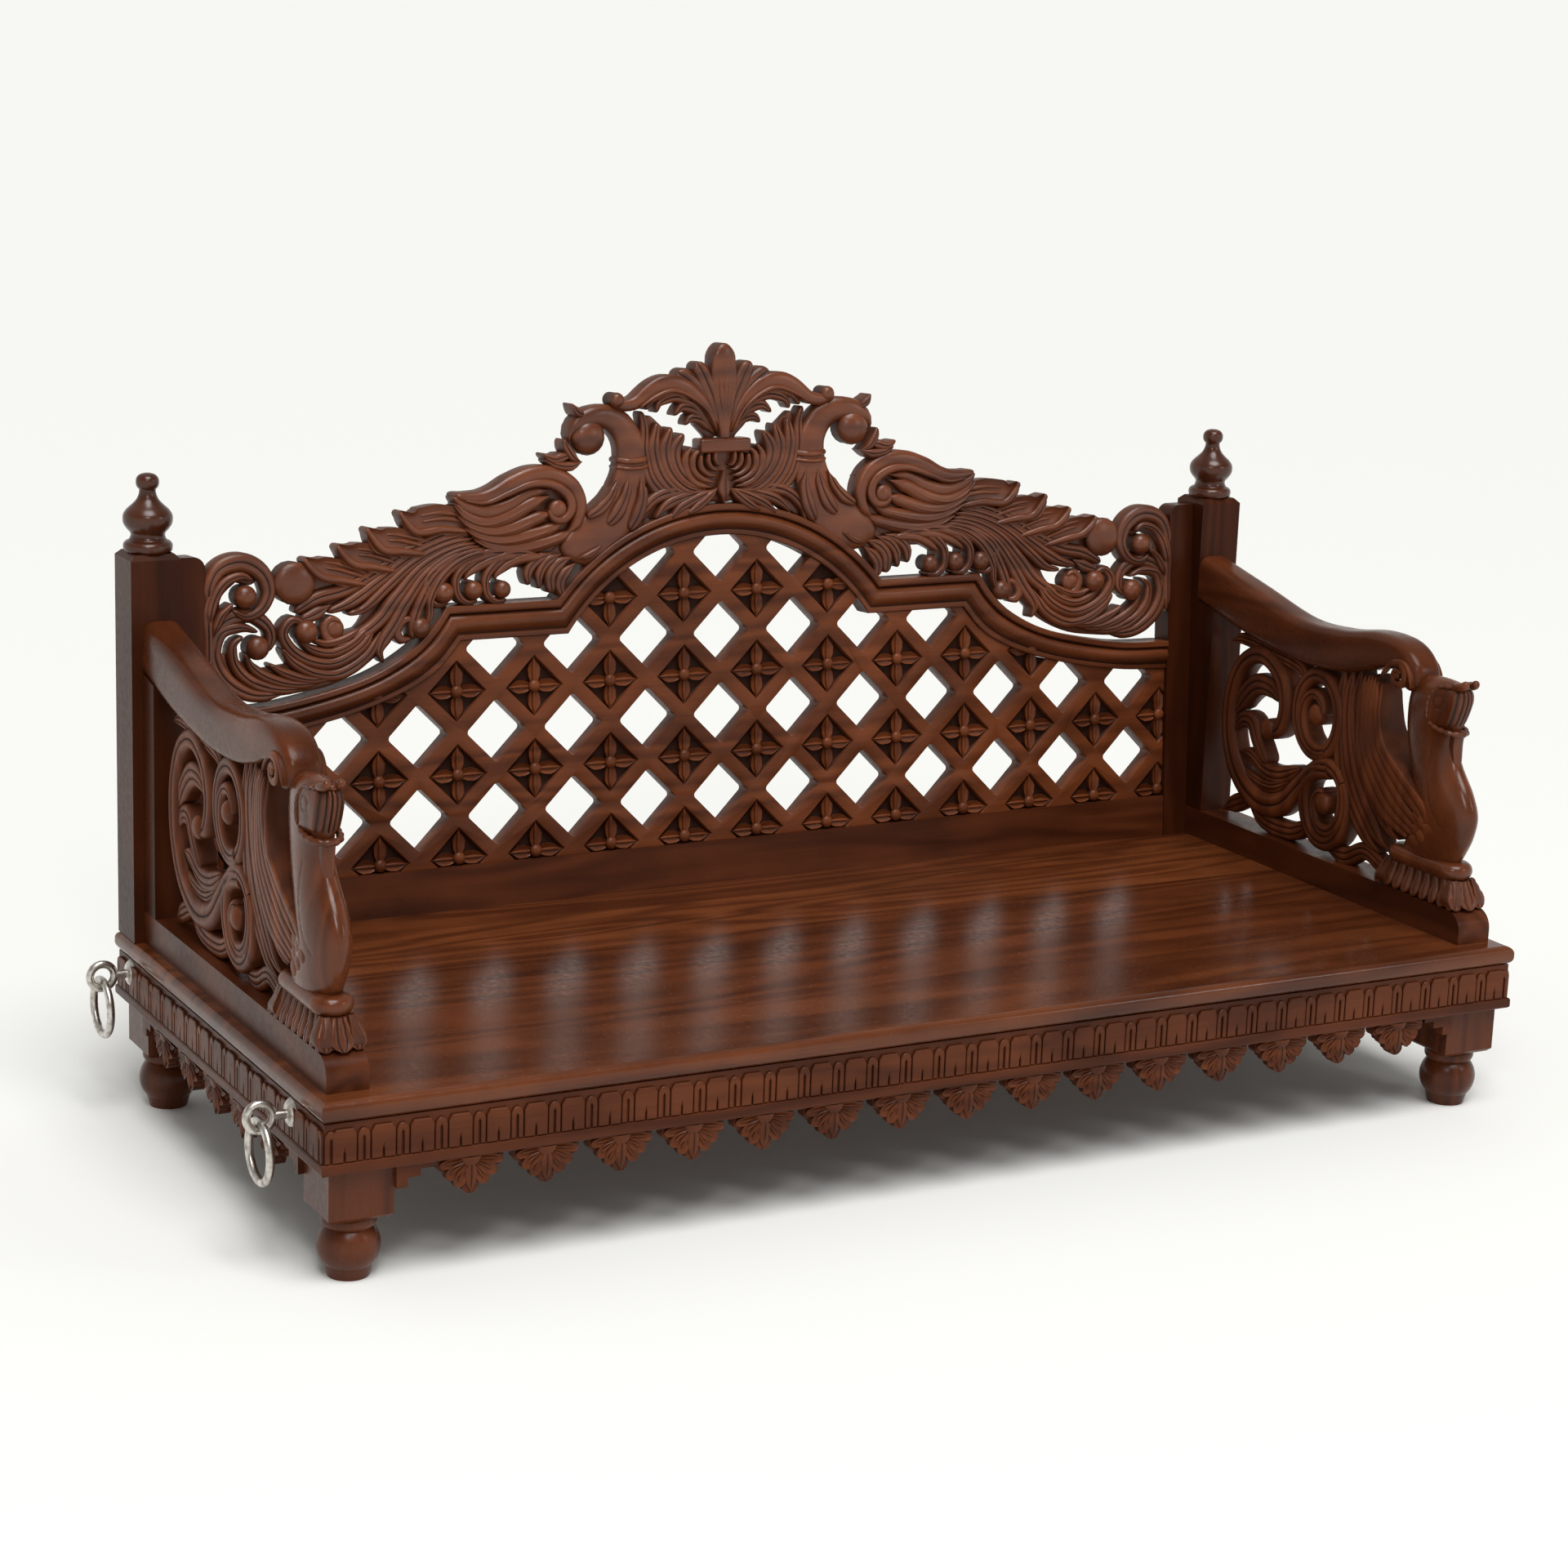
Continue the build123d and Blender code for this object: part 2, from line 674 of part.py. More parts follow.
with BuildPart() as swan:
    for h, back, front, half in swan_sections:
        behind, ahead = along((back, h), (front, h))
        with BuildSketch(Plane.XY.offset(seat_height + h)):
            with Locations((-arm_x, -(behind[0] + ahead[0]) / 2)):
                Ellipse(half, (ahead[0] - behind[0]) / 2)
    loft()
    with BuildSketch(Plane.XY.offset(seat_height + lotus_top)):
        with Locations((-arm_x, -(collar_back + collar_front) / 2)):
            SlotOverall(collar_front - collar_back, arm_width, rotation=90)
    extrude(amount=collar_height)
    fillet(swan.faces().filter_by(Axis.Z).sort_by(Axis.Z)[0].edges(), collar_height * 0.45)
    with BuildSketch(Plane.XY.offset(arm_floor)):
        with Locations((-arm_x, -(lotus_back + lotus_front) / 2)):
            RectangleRounded(arm_width, lotus_front - lotus_back, 8)
    with BuildSketch(Plane.XY.offset(seat_height + lotus_top)):
        with Locations((-arm_x, -(collar_back + collar_front) / 2)):
            RectangleRounded(arm_width - 10, collar_front - collar_back - 16, 8)
    loft()
save_pair(swan.part, "swan")

# ---------------------------------------------------------------- scrolled arm panels


def scroll_ring(centre, towards):
    """Ring with a ball inside it that is joined to the ring on one side."""
    with BuildSketch(mode=Mode.PRIVATE) as ring:
        with Locations(centre):
            Circle(scroll_ring_radius)
            Circle(scroll_ring_bore, mode=Mode.SUBTRACT)
    add(ring.sketch)
    rim = along(towards)[0]
    disc(((centre[0] + rim[0]) / 2, (centre[1] + rim[1]) / 2), scroll_eye_radius)
    disc(((centre[0] + 2 * rim[0]) / 3, (centre[1] + 2 * rim[1]) / 3), scroll_eye_radius)


def arm_carving():
    """Big C-scroll, two ringed scrolls and a feathered wing, with small leaves between."""
    # C-scroll with its leaf, sweeping over into the lower ring
    ribbon(along((-122, 166), (-94, 176), (-84, 208), (-98, 245), (-138, 264), (-178, 246), (-200, 200),
                 (-198, 145), (-172, 98), (-125, 74), (-80, 82), (-46, 112), (-18, 138), (14, 146)),
           (20, 24, 28, 26, 24, 26, 28, 30, 32, 34, 32, 28, 26, 24))
    disc(along((-116, 172))[0], 14)
    ribbon(along((-196, 170), (-160, 214), (-124, 228), (-92, 214)), (20, 34, 32, 18))
    ribbon(along((-190, 150), (-158, 178), (-146, 150), (-110, 118), (-70, 122), (-40, 138)),
           (20, 30, 34, 30, 24, 16))
    # Upper and lower rings
    scroll_ring(along((-8, 212))[0], (-8, 176))
    scroll_ring(along((20, 102))[0], (8, 134))
    # Leaves that fill the corners up to the rails
    ribbon(along((-212, 268), (-180, 276), (-110, 270), (-60, 262), (-40, 240)), (14, 18, 16, 20, 16))
    ribbon(along((-60, 232), (-44, 212), (-52, 180)), (18, 26, 16))
    ribbon(along((-205, 46), (-178, 60), (-150, 70)), (18, 22, 20))
    ribbon(along((-150, 66), (-110, 48), (-60, 52), (-30, 60)), (20, 26, 22, 26))
    ribbon(along((20, 48), (56, 46), (92, 62), (128, 52)), (20, 22, 22, 26))
    # Feathers of the wing, from the arm down to the lotus
    for feather, spine in enumerate((
        ((36, 288), (34, 210), (52, 140), (100, 84)),
        ((56, 290), (54, 220), (76, 150), (124, 88)),
        ((78, 292), (76, 230), (100, 162), (150, 96)),
        ((100, 296), (100, 236), (126, 172), (170, 108)),
        ((122, 292), (126, 240), (150, 186), (186, 130)),
    )):
        ribbon(along(*spine), (30, 34, 34, 30))


swan_line = [(back, h) for h, back, _, _ in swan_sections]
with BuildPart() as scroll_panel:
    with BuildSketch(side_plane(arm_x - scroll_thickness / 2)):
        arm_carving()
        with BuildSketch(mode=Mode.PRIVATE) as neighbours:
            with BuildLine() as outline:
                rear = Spline(*[(x - swan_gap, y) for x, y in along(*swan_line)])
                end = along((330, 0), (330, 400))
                Polyline(rear @ 1, (arm_nose[2][0], end[1][1]), end[1], end[0], (rear @ 0) - (0, 40), rear @ 0)
            make_face(outline.edges())
            with Locations((collar_back - swan_gap, seat_height)):
                Rectangle(collar_front - collar_back, collar_top + swan_gap, align=Align.MIN)
            with Locations((lotus_back - swan_gap, seat_height)):
                Rectangle(lotus_front - lotus_back, lotus_top + swan_gap, align=Align.MIN)
        add(neighbours.sketch, mode=Mode.SUBTRACT)
        with BuildSketch(mode=Mode.PRIVATE) as arm_board:
            arm_profile()
            with Locations((arm_back, arm_under[-1][1] + arm_edge_round)):
                Rectangle(arm_front - arm_back, stile_height, align=Align.MIN)
        add(arm_board.sketch, mode=Mode.SUBTRACT)
        with Locations((arm_back + arm_stile_width, arm_floor)):
            Rectangle(arm_front - arm_back, stile_height, align=Align.MIN, mode=Mode.INTERSECT)
    extrude(amount=scroll_thickness)
save_pair(scroll_panel.part, "arm_scroll_panel")

# ---------------------------------------------------------------- hanging hardware

eye_x = seat_length / 2 + eye_out
eye_radius = (eye_outside - eye_wire) / 2
ring_radius = (ring_outside - ring_wire) / 2
eye_bottom = eye_height - eye_radius + eye_wire / 2
ring_height = eye_bottom + ring_play + ring_wire / 2 - ring_radius
eye_places = {
    "front_left": (-1, eye_front),
    "front_right": (1, eye_front),
    "rear_left": (-1, eye_rear),
    "rear_right": (1, eye_rear),
}

for corner, (out, y) in eye_places.items():
    # A rear eye also goes through the leg, so its nut sits on the inside of the leg
    seat_x = apron_in_x if y < 0 else leg_in_x
    shank_end = seat_x - washer_thickness - nut_thickness - shank_past_nut
    with BuildPart() as eye_bolt:
        with Locations(Plane(origin=(out * eye_x, y, eye_height), z_dir=(0, 1, 0))):
            Torus(eye_radius, eye_wire / 2)
        shank_start = Plane(origin=(out * (eye_x - eye_radius), y, eye_height), z_dir=(-out, 0, 0))
        with BuildSketch(shank_start):
            Circle(shank_radius)
        extrude(amount=eye_x - eye_radius - shank_end)
    save(eye_bolt.part, f"eye_bolt_{corner}")

    with BuildPart() as hanging_ring:
        with Locations(Plane(origin=(out * eye_x, y, ring_height), z_dir=(1, 0, 0))):
            Torus(ring_radius, ring_wire / 2)
    save(hanging_ring.part, f"hanging_ring_{corner}")

    with BuildPart() as rosette:
        with BuildSketch(Plane(origin=(out * frieze_x, y, eye_height), x_dir=(out, 0, 0), z_dir=(0, 0, 1))):
            with BuildLine():
                dome = ThreePointArc(
                    (0, rosette_radius),
                    (rosette_height * 0.75, rosette_radius * 0.72),
                    (rosette_height, shank_radius + shank_clearance),
                )
                Polyline(dome @ 1, (0, shank_radius + shank_clearance), dome @ 0)
            make_face()
        revolve(axis=Axis((0, y, eye_height), (1, 0, 0)))
    save(rosette.part, f"eye_rosette_{corner}")

    with BuildPart() as nut:
        with BuildSketch(Plane(origin=(out * seat_x, y, eye_height), z_dir=(-out, 0, 0))):
            Circle(washer_radius)
            Circle(shank_radius + shank_clearance, mode=Mode.SUBTRACT)
        extrude(amount=washer_thickness)
        with BuildSketch(Plane(origin=(out * (seat_x - washer_thickness), y, eye_height), z_dir=(-out, 0, 0))):
            RegularPolygon(nut_width / 2, 6, major_radius=False)
            Circle(shank_radius + shank_clearance, mode=Mode.SUBTRACT)
        extrude(amount=nut_thickness)
    save(nut.part, f"eye_nut_{corner}")
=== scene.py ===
"""Jhoola: a carved swing seat in dark polished sheesham, with steel hanging rings.

The sections follow the seat as it is put together, from the planks of the deck up to the
crest and the arms, and end with the steel rings, the floor, the lamps and the camera.
"""
from math import asin, ceil, cos, hypot, pi, radians, sin, sqrt

import bmesh
import bpy
from mathutils import Matrix, Vector


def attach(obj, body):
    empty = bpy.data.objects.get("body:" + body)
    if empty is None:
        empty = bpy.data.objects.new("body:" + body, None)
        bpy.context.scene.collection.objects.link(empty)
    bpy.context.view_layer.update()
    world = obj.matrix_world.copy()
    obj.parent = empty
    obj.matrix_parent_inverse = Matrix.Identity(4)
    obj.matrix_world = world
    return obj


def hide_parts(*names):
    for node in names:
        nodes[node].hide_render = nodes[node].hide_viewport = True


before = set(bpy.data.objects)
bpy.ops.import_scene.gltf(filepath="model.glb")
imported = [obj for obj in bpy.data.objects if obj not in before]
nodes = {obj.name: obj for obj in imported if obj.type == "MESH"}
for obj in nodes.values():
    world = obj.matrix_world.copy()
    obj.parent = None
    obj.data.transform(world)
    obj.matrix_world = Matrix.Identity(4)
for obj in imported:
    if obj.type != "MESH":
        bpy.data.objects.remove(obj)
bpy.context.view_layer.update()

# ---------------------------------------------------------------- seat deck
# Five planks of sheesham laid from back to front, each cut from another board, so tone
# and figure change from plank to plank. They are stained, filled and polished with a
# clear lacquer, and lie on three battens.


def place(tree, kind, given=None, **settings):
    """Add a shader node with its settings and the values or links of its sockets."""
    made = tree.nodes.new(kind)
    for name, value in settings.items():
        setattr(made, name, value)
    for name, value in (given or {}).items():
        socket = made.inputs[name]
        if isinstance(value, bpy.types.NodeSocket):
            tree.links.new(value, socket)
        else:
            socket.default_value = value
    return made


def sum_of(tree, work, first, second):
    """Result of a math node."""
    return place(tree, "ShaderNodeMath", {0: first, 1: second}, operation=work).outputs[0]


def remap(tree, value, low, high, to_low=0.0, to_high=1.0, ease="LINEAR"):
    """Value moved from one range to another, and held at its ends."""
    given = {0: value, 1: low, 2: high, 3: to_low, 4: to_high}
    return place(tree, "ShaderNodeMapRange", given, interpolation_type=ease).outputs[0]


def noise(tree, vector, scale, detail, roughness=0.5, distortion=0.0, stretch=None):
    """Cloudy noise, which a stretch draws out along the grain."""
    if stretch:
        vector = place(tree, "ShaderNodeMapping", {"Vector": vector, "Scale": stretch}).outputs[0]
    given = {"Vector": vector, "Scale": scale, "Detail": detail, "Roughness": roughness,
             "Distortion": distortion}
    return place(tree, "ShaderNodeTexNoise", given).outputs[0]


def blended(tree, share, first, second, way="MIX"):
    """Colour between two colours."""
    made = place(tree, "ShaderNodeMix", data_type="RGBA", blend_type=way)
    for index, value in ((0, share), (6, first), (7, second)):
        if isinstance(value, bpy.types.NodeSocket):
            tree.links.new(value, made.inputs[index])
        else:
            made.inputs[index].default_value = value
    return made.outputs[2]


def new_group(name, inputs, outputs):
    """Empty node group with its sockets, and what it is given and what it puts out."""
    group = bpy.data.node_groups.new(name, "ShaderNodeTree")
    for socket, kind, value in inputs:
        made = group.interface.new_socket(socket, in_out="INPUT", socket_type=kind)
        if value is not None:
            made.default_value = value
    for socket in outputs:
        group.interface.new_socket(socket, in_out="OUTPUT", socket_type="NodeSocketFloat")
    given = group.nodes.new("NodeGroupInput").outputs
    return group, given, group.nodes.new("NodeGroupOutput").inputs


def sheesham_figure():
    """Growth rings, fibres and pores of a board whose grain runs along its local X."""
    group, given, result = new_group(
        "sheesham_figure",
        (("Vector", "NodeSocketVector", None), ("Rings", "NodeSocketFloat", 9.0),
         ("Pore Depth", "NodeSocketFloat", 0.5)), ("Figure", "Fibre", "Height"))
    cloud = noise(group, given["Vector"], 1.0, 2.5, 0.45, 0.35, stretch=(1.1, 9.0, 9.0))
    wave = sum_of(group, "PINGPONG", sum_of(group, "MULTIPLY", cloud, given["Rings"]), 0.5)
    rings = remap(group, wave, 0.0, 0.5, ease="SMOOTHSTEP")
    streak = noise(group, given["Vector"], 1.0, 4.0, 0.6, stretch=(1.3, 42.0, 42.0))
    fine = noise(group, given["Vector"], 1.0, 3.0, 0.7, stretch=(9.0, 320.0, 320.0))
    pores = remap(group, fine, 0.36, 0.47)
    mixed = sum_of(group, "ADD", sum_of(group, "MULTIPLY", rings, 0.45),
                   sum_of(group, "MULTIPLY", streak, 0.75))
    fibre = sum_of(group, "MULTIPLY", pores, given["Pore Depth"])
    height = sum_of(group, "ADD", sum_of(group, "MULTIPLY", streak, 0.35),
                    sum_of(group, "MULTIPLY", fibre, 0.8))
    for name, value in (("Figure", mixed), ("Fibre", fibre), ("Height", height)):
        group.links.new(value, result[name])
    return group


def hand_wear():
    """Soft patches where the polish is thinner or the stain has taken deeper."""
    group, given, result = new_group(
        "hand_wear", (("Vector", "NodeSocketVector", None),), ("Patch", "Dust"))
    group.links.new(noise(group, given[0], 9.0, 3.0, 0.55), result["Patch"])
    group.links.new(noise(group, given[0], 130.0, 3.0, 0.65), result["Dust"])
    return group


figure_group = sheesham_figure()
wear_group = hand_wear()
grain_turns = {"x": (0, 0, 0), "y": (0, 0, radians(-90)), "z": (0, radians(90), 0)}


def stained_wood(name, grain, pale, dark, polish, gloss=0.10, rings=9.0, offset=(0, 0, 0),
                 carved=False, bump=0.06):
    """Stained sheesham: grain is the axis that the fibres follow."""
    material = bpy.data.materials.new(name)
    material.use_nodes = True
    tree = material.node_tree
    shader = tree.nodes["Principled BSDF"]
    coord = place(tree, "ShaderNodeTexCoord").outputs["Object"]
    turned = place(tree, "ShaderNodeMapping",
                   {"Vector": coord, "Location": offset, "Rotation": grain_turns[grain]})
    figure = place(tree, "ShaderNodeGroup", node_tree=figure_group)
    tree.links.new(turned.outputs[0], figure.inputs["Vector"])
    figure.inputs["Rings"].default_value = rings
    wear = place(tree, "ShaderNodeGroup", node_tree=wear_group)
    tree.links.new(coord, wear.inputs["Vector"])
    colour = blended(tree, remap(tree, figure.outputs["Figure"], 0.3, 0.85), (*dark, 1), (*pale, 1))
    pore = remap(tree, figure.outputs["Fibre"], 0.0, 0.5, 0.88, 1.0)
    colour = blended(tree, 1.0, colour, pore, "MULTIPLY")
    patch = remap(tree, wear.outputs["Patch"], 0.3, 0.7, 0.78, 1.18)
    colour = blended(tree, 1.0, colour, patch, "MULTIPLY")
    roughness = remap(tree, wear.outputs["Dust"], 0.3, 0.7, polish - 0.05, polish + 0.08)
    if carved:
        # Stain and wax gather in the cuts, and painted shade darkens them as well: the deeper the
        # hollow, the darker the colour and the duller the polish
        hollow = place(tree, "ShaderNodeAttribute", attribute_name="hollow").outputs["Fac"]
        wax_and_painted_shade = (dark[0] * 0.22, dark[1] * 0.2, dark[2] * 0.2, 1)
        colour = blended(tree, remap(tree, hollow, 0.08, 0.8, 0.0, 0.92), colour, wax_and_painted_shade)
        roughness = sum_of(tree, "ADD", roughness, sum_of(tree, "MULTIPLY", hollow, 0.4))
    tree.links.new(colour, shader.inputs["Base Color"])
    tree.links.new(roughness, shader.inputs["Roughness"])
    relief = place(tree, "ShaderNodeBump",
                   {"Strength": bump, "Distance": 0.0006, "Height": figure.outputs["Height"]})
    tree.links.new(relief.outputs[0], shader.inputs["Normal"])
    shader.inputs["Specular IOR Level"].default_value = gloss
    return material


def finish_nodes(material, *names):
    """Give solids of the frame their finish."""
    for name in names:
        nodes[name].data.materials.clear()
        nodes[name].data.materials.append(material)


plank_tones = (
    ((0.118, 0.0320, 0.0098), (0.058, 0.0142, 0.0043), 0.0),
    ((0.112, 0.0290, 0.0088), (0.052, 0.0124, 0.0038), 1.7),
    ((0.098, 0.0255, 0.0078), (0.045, 0.0106, 0.0033), 3.1),
    ((0.152, 0.0420, 0.0122), (0.068, 0.0165, 0.0049), 4.9),
    ((0.120, 0.0320, 0.0096), (0.054, 0.0129, 0.0040), 6.3),
)
for number, (pale, dark, shift) in enumerate(plank_tones):
    board = stained_wood(f"deck_board_{number + 1}", "x", pale, dark, 0.20, gloss=0.32,
                         rings=7.0 + number, offset=(shift, shift * 0.37, 0), bump=0.035)
    finish_nodes(board, f"seat_plank_{number + 1}")
batten_wood = stained_wood("batten_wood", "y", (0.075, 0.028, 0.014), (0.03, 0.011, 0.006), 0.55)
finish_nodes(batten_wood, *(f"seat_batten_{number}" for number in (1, 2, 3)))

# ---------------------------------------------------------------- aprons, pendants and legs
# Boards mitred round the deck, with a half-round bead along the foot, pendants sawn from
# thinner stock below them, and a turned stub leg with a square block at each corner.

frame_pale = (0.088, 0.0222, 0.0070)
frame_dark = (0.047, 0.0110, 0.0035)
corners = ("front_left", "front_right", "rear_left", "rear_right")
sides = ("left", "right")
rail_wood_x = stained_wood("rail_wood_x", "x", frame_pale, frame_dark, 0.32, gloss=0.14)
rail_wood_y = stained_wood("rail_wood_y", "y", frame_pale, frame_dark, 0.32, gloss=0.14,
                           offset=(2.1, 0.4, 0))
# Posts and stiles take a darker copy of the frame wood: painted shade, set to the colour of their
# shaded faces
painted_shade_post_wood = stained_wood("painted_shade_post_wood", "z", (0.050, 0.0118, 0.0036), (0.029, 0.0066, 0.0021), 0.32,
                         offset=(0.7, 1.9, 0.3))
leg_wood = stained_wood("leg_wood", "z", frame_pale, frame_dark, 0.28, gloss=0.22,
                        offset=(0.3, 0.6, 0.9))
finish_nodes(rail_wood_x, "apron_front", "apron_rear", "valance_front", "back_bottom_rail")
finish_nodes(leg_wood, *(f"leg_{corner}" for corner in corners))
for side in sides:
    finish_nodes(rail_wood_y, f"apron_{side}", f"valance_{side}", f"arm_base_rail_{side}")
    finish_nodes(painted_shade_post_wood, f"back_post_{side}", f"back_stile_{side}", f"arm_stile_{side}")

# ---------------------------------------------------------------- carved frieze and pendants
# Cut-corner blocks with an incised arch, and pairs of round-topped darts between them, are
# carved along the front and side aprons. Each sawn pendant is carved as half a flower.


def measured_line(places):
    """Fine points of a smooth line through the places, and the length up to each of them."""
    run = [Vector(spot) for spot in places]
    run = [2 * run[0] - run[1], *run, 2 * run[-1] - run[-2]]
    fine = []
    for a, b, c, d in zip(run, run[1:], run[2:], run[3:]):
        for i in range(16):
            t = i / 16
            fine.append((2 * b + (c - a) * t + (2 * a - 5 * b + 4 * c - d) * t**2
                         + (3 * b - a - 3 * c + d) * t**3) / 2)
    fine.append(run[-2])
    reach = [0.0]
    for one, other in zip(fine, fine[1:]):
        reach.append(reach[-1] + (other - one).length)
    return fine, reach


def stations_on(line, stations):
    """Place and direction at each of the given distances along a measured line."""
    fine, reach = line
    found = []
    at = 0
    for station in stations:
        while at < len(reach) - 2 and reach[at + 1] < station:
            at += 1
        share = (station - reach[at]) / max(reach[at + 1] - reach[at], 1e-9)
        along = (fine[min(at + 2, len(fine) - 1)] - fine[max(at - 1, 0)]).normalized()
        found.append((fine[at].lerp(fine[at + 1], share), along))
    return found


def even_stations(places, count):
    """Places and directions at even steps along a smooth line."""
    line = measured_line(places)
    return stations_on(line, [line[1][-1] * i / count for i in range(count + 1)])


def between(values, share):
    """Value at a share of the way along a list of values."""
    if not isinstance(values, (tuple, list)):
        return values
    at = min(max(share, 0.0), 1.0) * (len(values) - 1)
    low = min(int(at), len(values) - 2)
    ease = at - low
    return values[low] + (values[low + 1] - values[low]) * ease * ease * (3 - 2 * ease)


def hollow_layer(work):
    """How deep each vertex lies in a cut, from 0 on top to 1 in a groove; the carved finishes paint
    shade and wax darker by it.
    """
    return work.verts.layers.float.get("hollow") or work.verts.layers.float.new("hollow")


def closed_skin(work, rows, columns, spot_at):
    """Skin of rows of rings, closed at both ends: spot_at gives each place and its hollow."""
    hollow = hollow_layer(work)
    made = bmesh.ops.create_grid(work, x_segments=rows, y_segments=columns, size=1.0)["verts"]
    for vert in made:
        row = round((vert.co.x + 1) / 2 * rows)
        vert.co, vert[hollow] = spot_at(row, round((vert.co.y + 1) / 2 * columns) % columns)
    bmesh.ops.remove_doubles(work, verts=made, dist=0.003)
    rim = {edge for vert in made if vert.is_valid for edge in vert.link_edges if edge.is_boundary}
    if rim:
        bmesh.ops.holes_fill(work, edges=list(rim), sides=0)


def carve_band(work, spine, widths, top=4.0, crown=4.0, flutes=1, groove=1.6, foot=-14.0,
               ends=("point", "round"), both=False, step=4.5):
    """Leaf, feather or scroll cut along a spine on a board, with flutes between sharp grooves.

    The foot is the height of its back. With both, the back is carved like the face."""
    line = measured_line(spine)
    length = line[1][-1]
    curl = {"round": 0.5, "point": 1.4, "flat": 0.0}
    starts = [min(curl[end] * between(widths, at), 0.45 * length)
              for end, at in zip(ends, (0.15, 0.85))]
    run = length - sum(starts)
    steps = max(4, ceil(run / step))
    eased = [1 - cos(radians(18 * i)) for i in range(5)]
    stations = [starts[0] * gap for gap in eased] if starts[0] else []
    stations += [starts[0] + run * i / steps for i in range(steps + 1)]
    stations += [length - starts[1] * gap for gap in reversed(eased)] if starts[1] else []
    found = stations_on(line, stations)

    # Section: place across the band from -1 to 1, and 1 on a ridge, 0 in a groove, -1 below
    if flutes > 1:
        section = [(2 * (ridge + (share + 1) / 2) / flutes - 1, sqrt(1 - share**2))
                   for ridge in range(flutes) for share in (-1.0, -0.72, 0.0, 0.72)] + [(1.0, 0.0)]
    else:
        section = [(-cos(pi * i / 10), 1.0) for i in range(11)]
    face = len(section)
    section += reversed(section) if both else [(0.96, -1.0), (-0.96, -1.0)]

    def spot_at(row, column):
        station = stations[row]
        share = station / length
        taper = 1.0
        for end, gap, start in zip(ends, (station, length - station), starts):
            if start and gap < start:
                near = gap / start
                rounded = sqrt(max(0.0, 1 - (1 - near) ** 2)) if end == "round" else near**0.75
                taper *= max(rounded, 0.03)
        half = between(widths, share) / 2 * taper
        rise = between(crown, share)
        t, full = section[column]
        height, depth = foot, 0.25
        if full >= 0:
            dome = rise * sqrt(max(0.0, 1 - t * t)) if rise >= 0 else -rise * abs(t) ** 1.6
            height = between(top, share) + dome * taper - groove * (1 - full) * min(1.0, half / 6)
            # Hollow values paint shade into the grooves and along the edges of the band
            depth = 0.9 * (1 - full) if abs(t) < 0.99 else 0.45
        if column >= face and both:
            height = -height
        spot, along = found[row]
        return (*(spot + Vector((-along.y, along.x)) * (t * half)), height), depth

    closed_skin(work, len(found) - 1, len(section), spot_at)


def carve_bands(work, bands, top=0.0, rise=0.0, flutes=2, **settings):
    """Carve bands one after the other, each a rise above the last.

    A band is (x, y, x, y ...) and its widths, then its own top and flutes where it has them."""
    for order, (spine, widths, *own) in enumerate(bands):
        level = own[0] if own else top + rise * order if rise else top
        carve_band(work, list(zip(spine[::2], spine[1::2])), widths, top=level,
                   flutes=own[1] if own[1:] else flutes, **settings)


def carve_boss(work, centre, radius, top=4.0, foot=-14.0, dome=0.75, both=False):
    """Round boss with a domed face."""
    hollow = hollow_layer(work)
    made = bmesh.ops.create_uvsphere(work, u_segments=18, v_segments=12, radius=radius)["verts"]
    for vert in made:
        out = hypot(vert.co.x, vert.co.y)
        share = vert.co.z / radius
        if share >= -1e-4:
            vert.co.z = top + vert.co.z * dome
            vert[hollow] = 0.55 * (1 - share) ** 3
        elif both:
            vert.co.z = -top + vert.co.z * dome
            vert[hollow] = 0.55 * (1 + share) ** 3
        else:
            if out > 0.02:
                vert.co.x *= 0.97 * radius / out
                vert.co.y *= 0.97 * radius / out
            vert.co.z = top + (foot - top) * min(1.0, -share * 1.05)
            # The sides down to the board carry painted shade
            vert[hollow] = 0.7
        vert.co.x += centre[0]
        vert.co.y += centre[1]


def carve_volute(work, centre, outer, inner, turn_from, turn_to, width, **cut):
    """Band that winds inwards round a centre, between two angles in degrees."""
    count = max(4, round(abs(turn_to - turn_from) / 30))
    spine = []
    for i in range(count + 1):
        angle = radians(turn_from + (turn_to - turn_from) * i / count)
        reach = outer + (inner - outer) * i / count
        spine.append((centre[0] + reach * cos(angle), centre[1] + reach * sin(angle)))
    carve_band(work, spine, width, **cut)


def add_mirrored(work, turn):
    """Add a mirrored copy of everything in the work."""
    copied = bmesh.ops.duplicate(work, geom=work.verts[:] + work.edges[:] + work.faces[:])["geom"]
    bmesh.ops.transform(work, matrix=turn,
                        verts=[item for item in copied if isinstance(item, bmesh.types.BMVert)])


def stored(work, name="shape"):
    """Mesh of the work, which is freed."""
    data = bpy.data.meshes.new(name)
    work.to_mesh(data)
    work.free()
    return data


def stand(name, data):
    """Object with the given data, set in the scene."""
    made = bpy.data.objects.new(name, data)
    bpy.context.collection.objects.link(made)
    return made


def finished_piece(name, work, fit, material, slot, *replaced, crease=48.0):
    """Turn carved work in millimetres into a piece of the seat."""
    bmesh.ops.transform(work, matrix=fit, verts=work.verts)
    bmesh.ops.recalc_face_normals(work, faces=work.faces)
    data = stored(work, name)
    data.shade_smooth()
    data.set_sharp_from_angle(angle=radians(crease))
    data.materials.append(material)
    piece = stand(name, data)
    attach(piece, "seat")
    if replaced:
        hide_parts(*replaced)


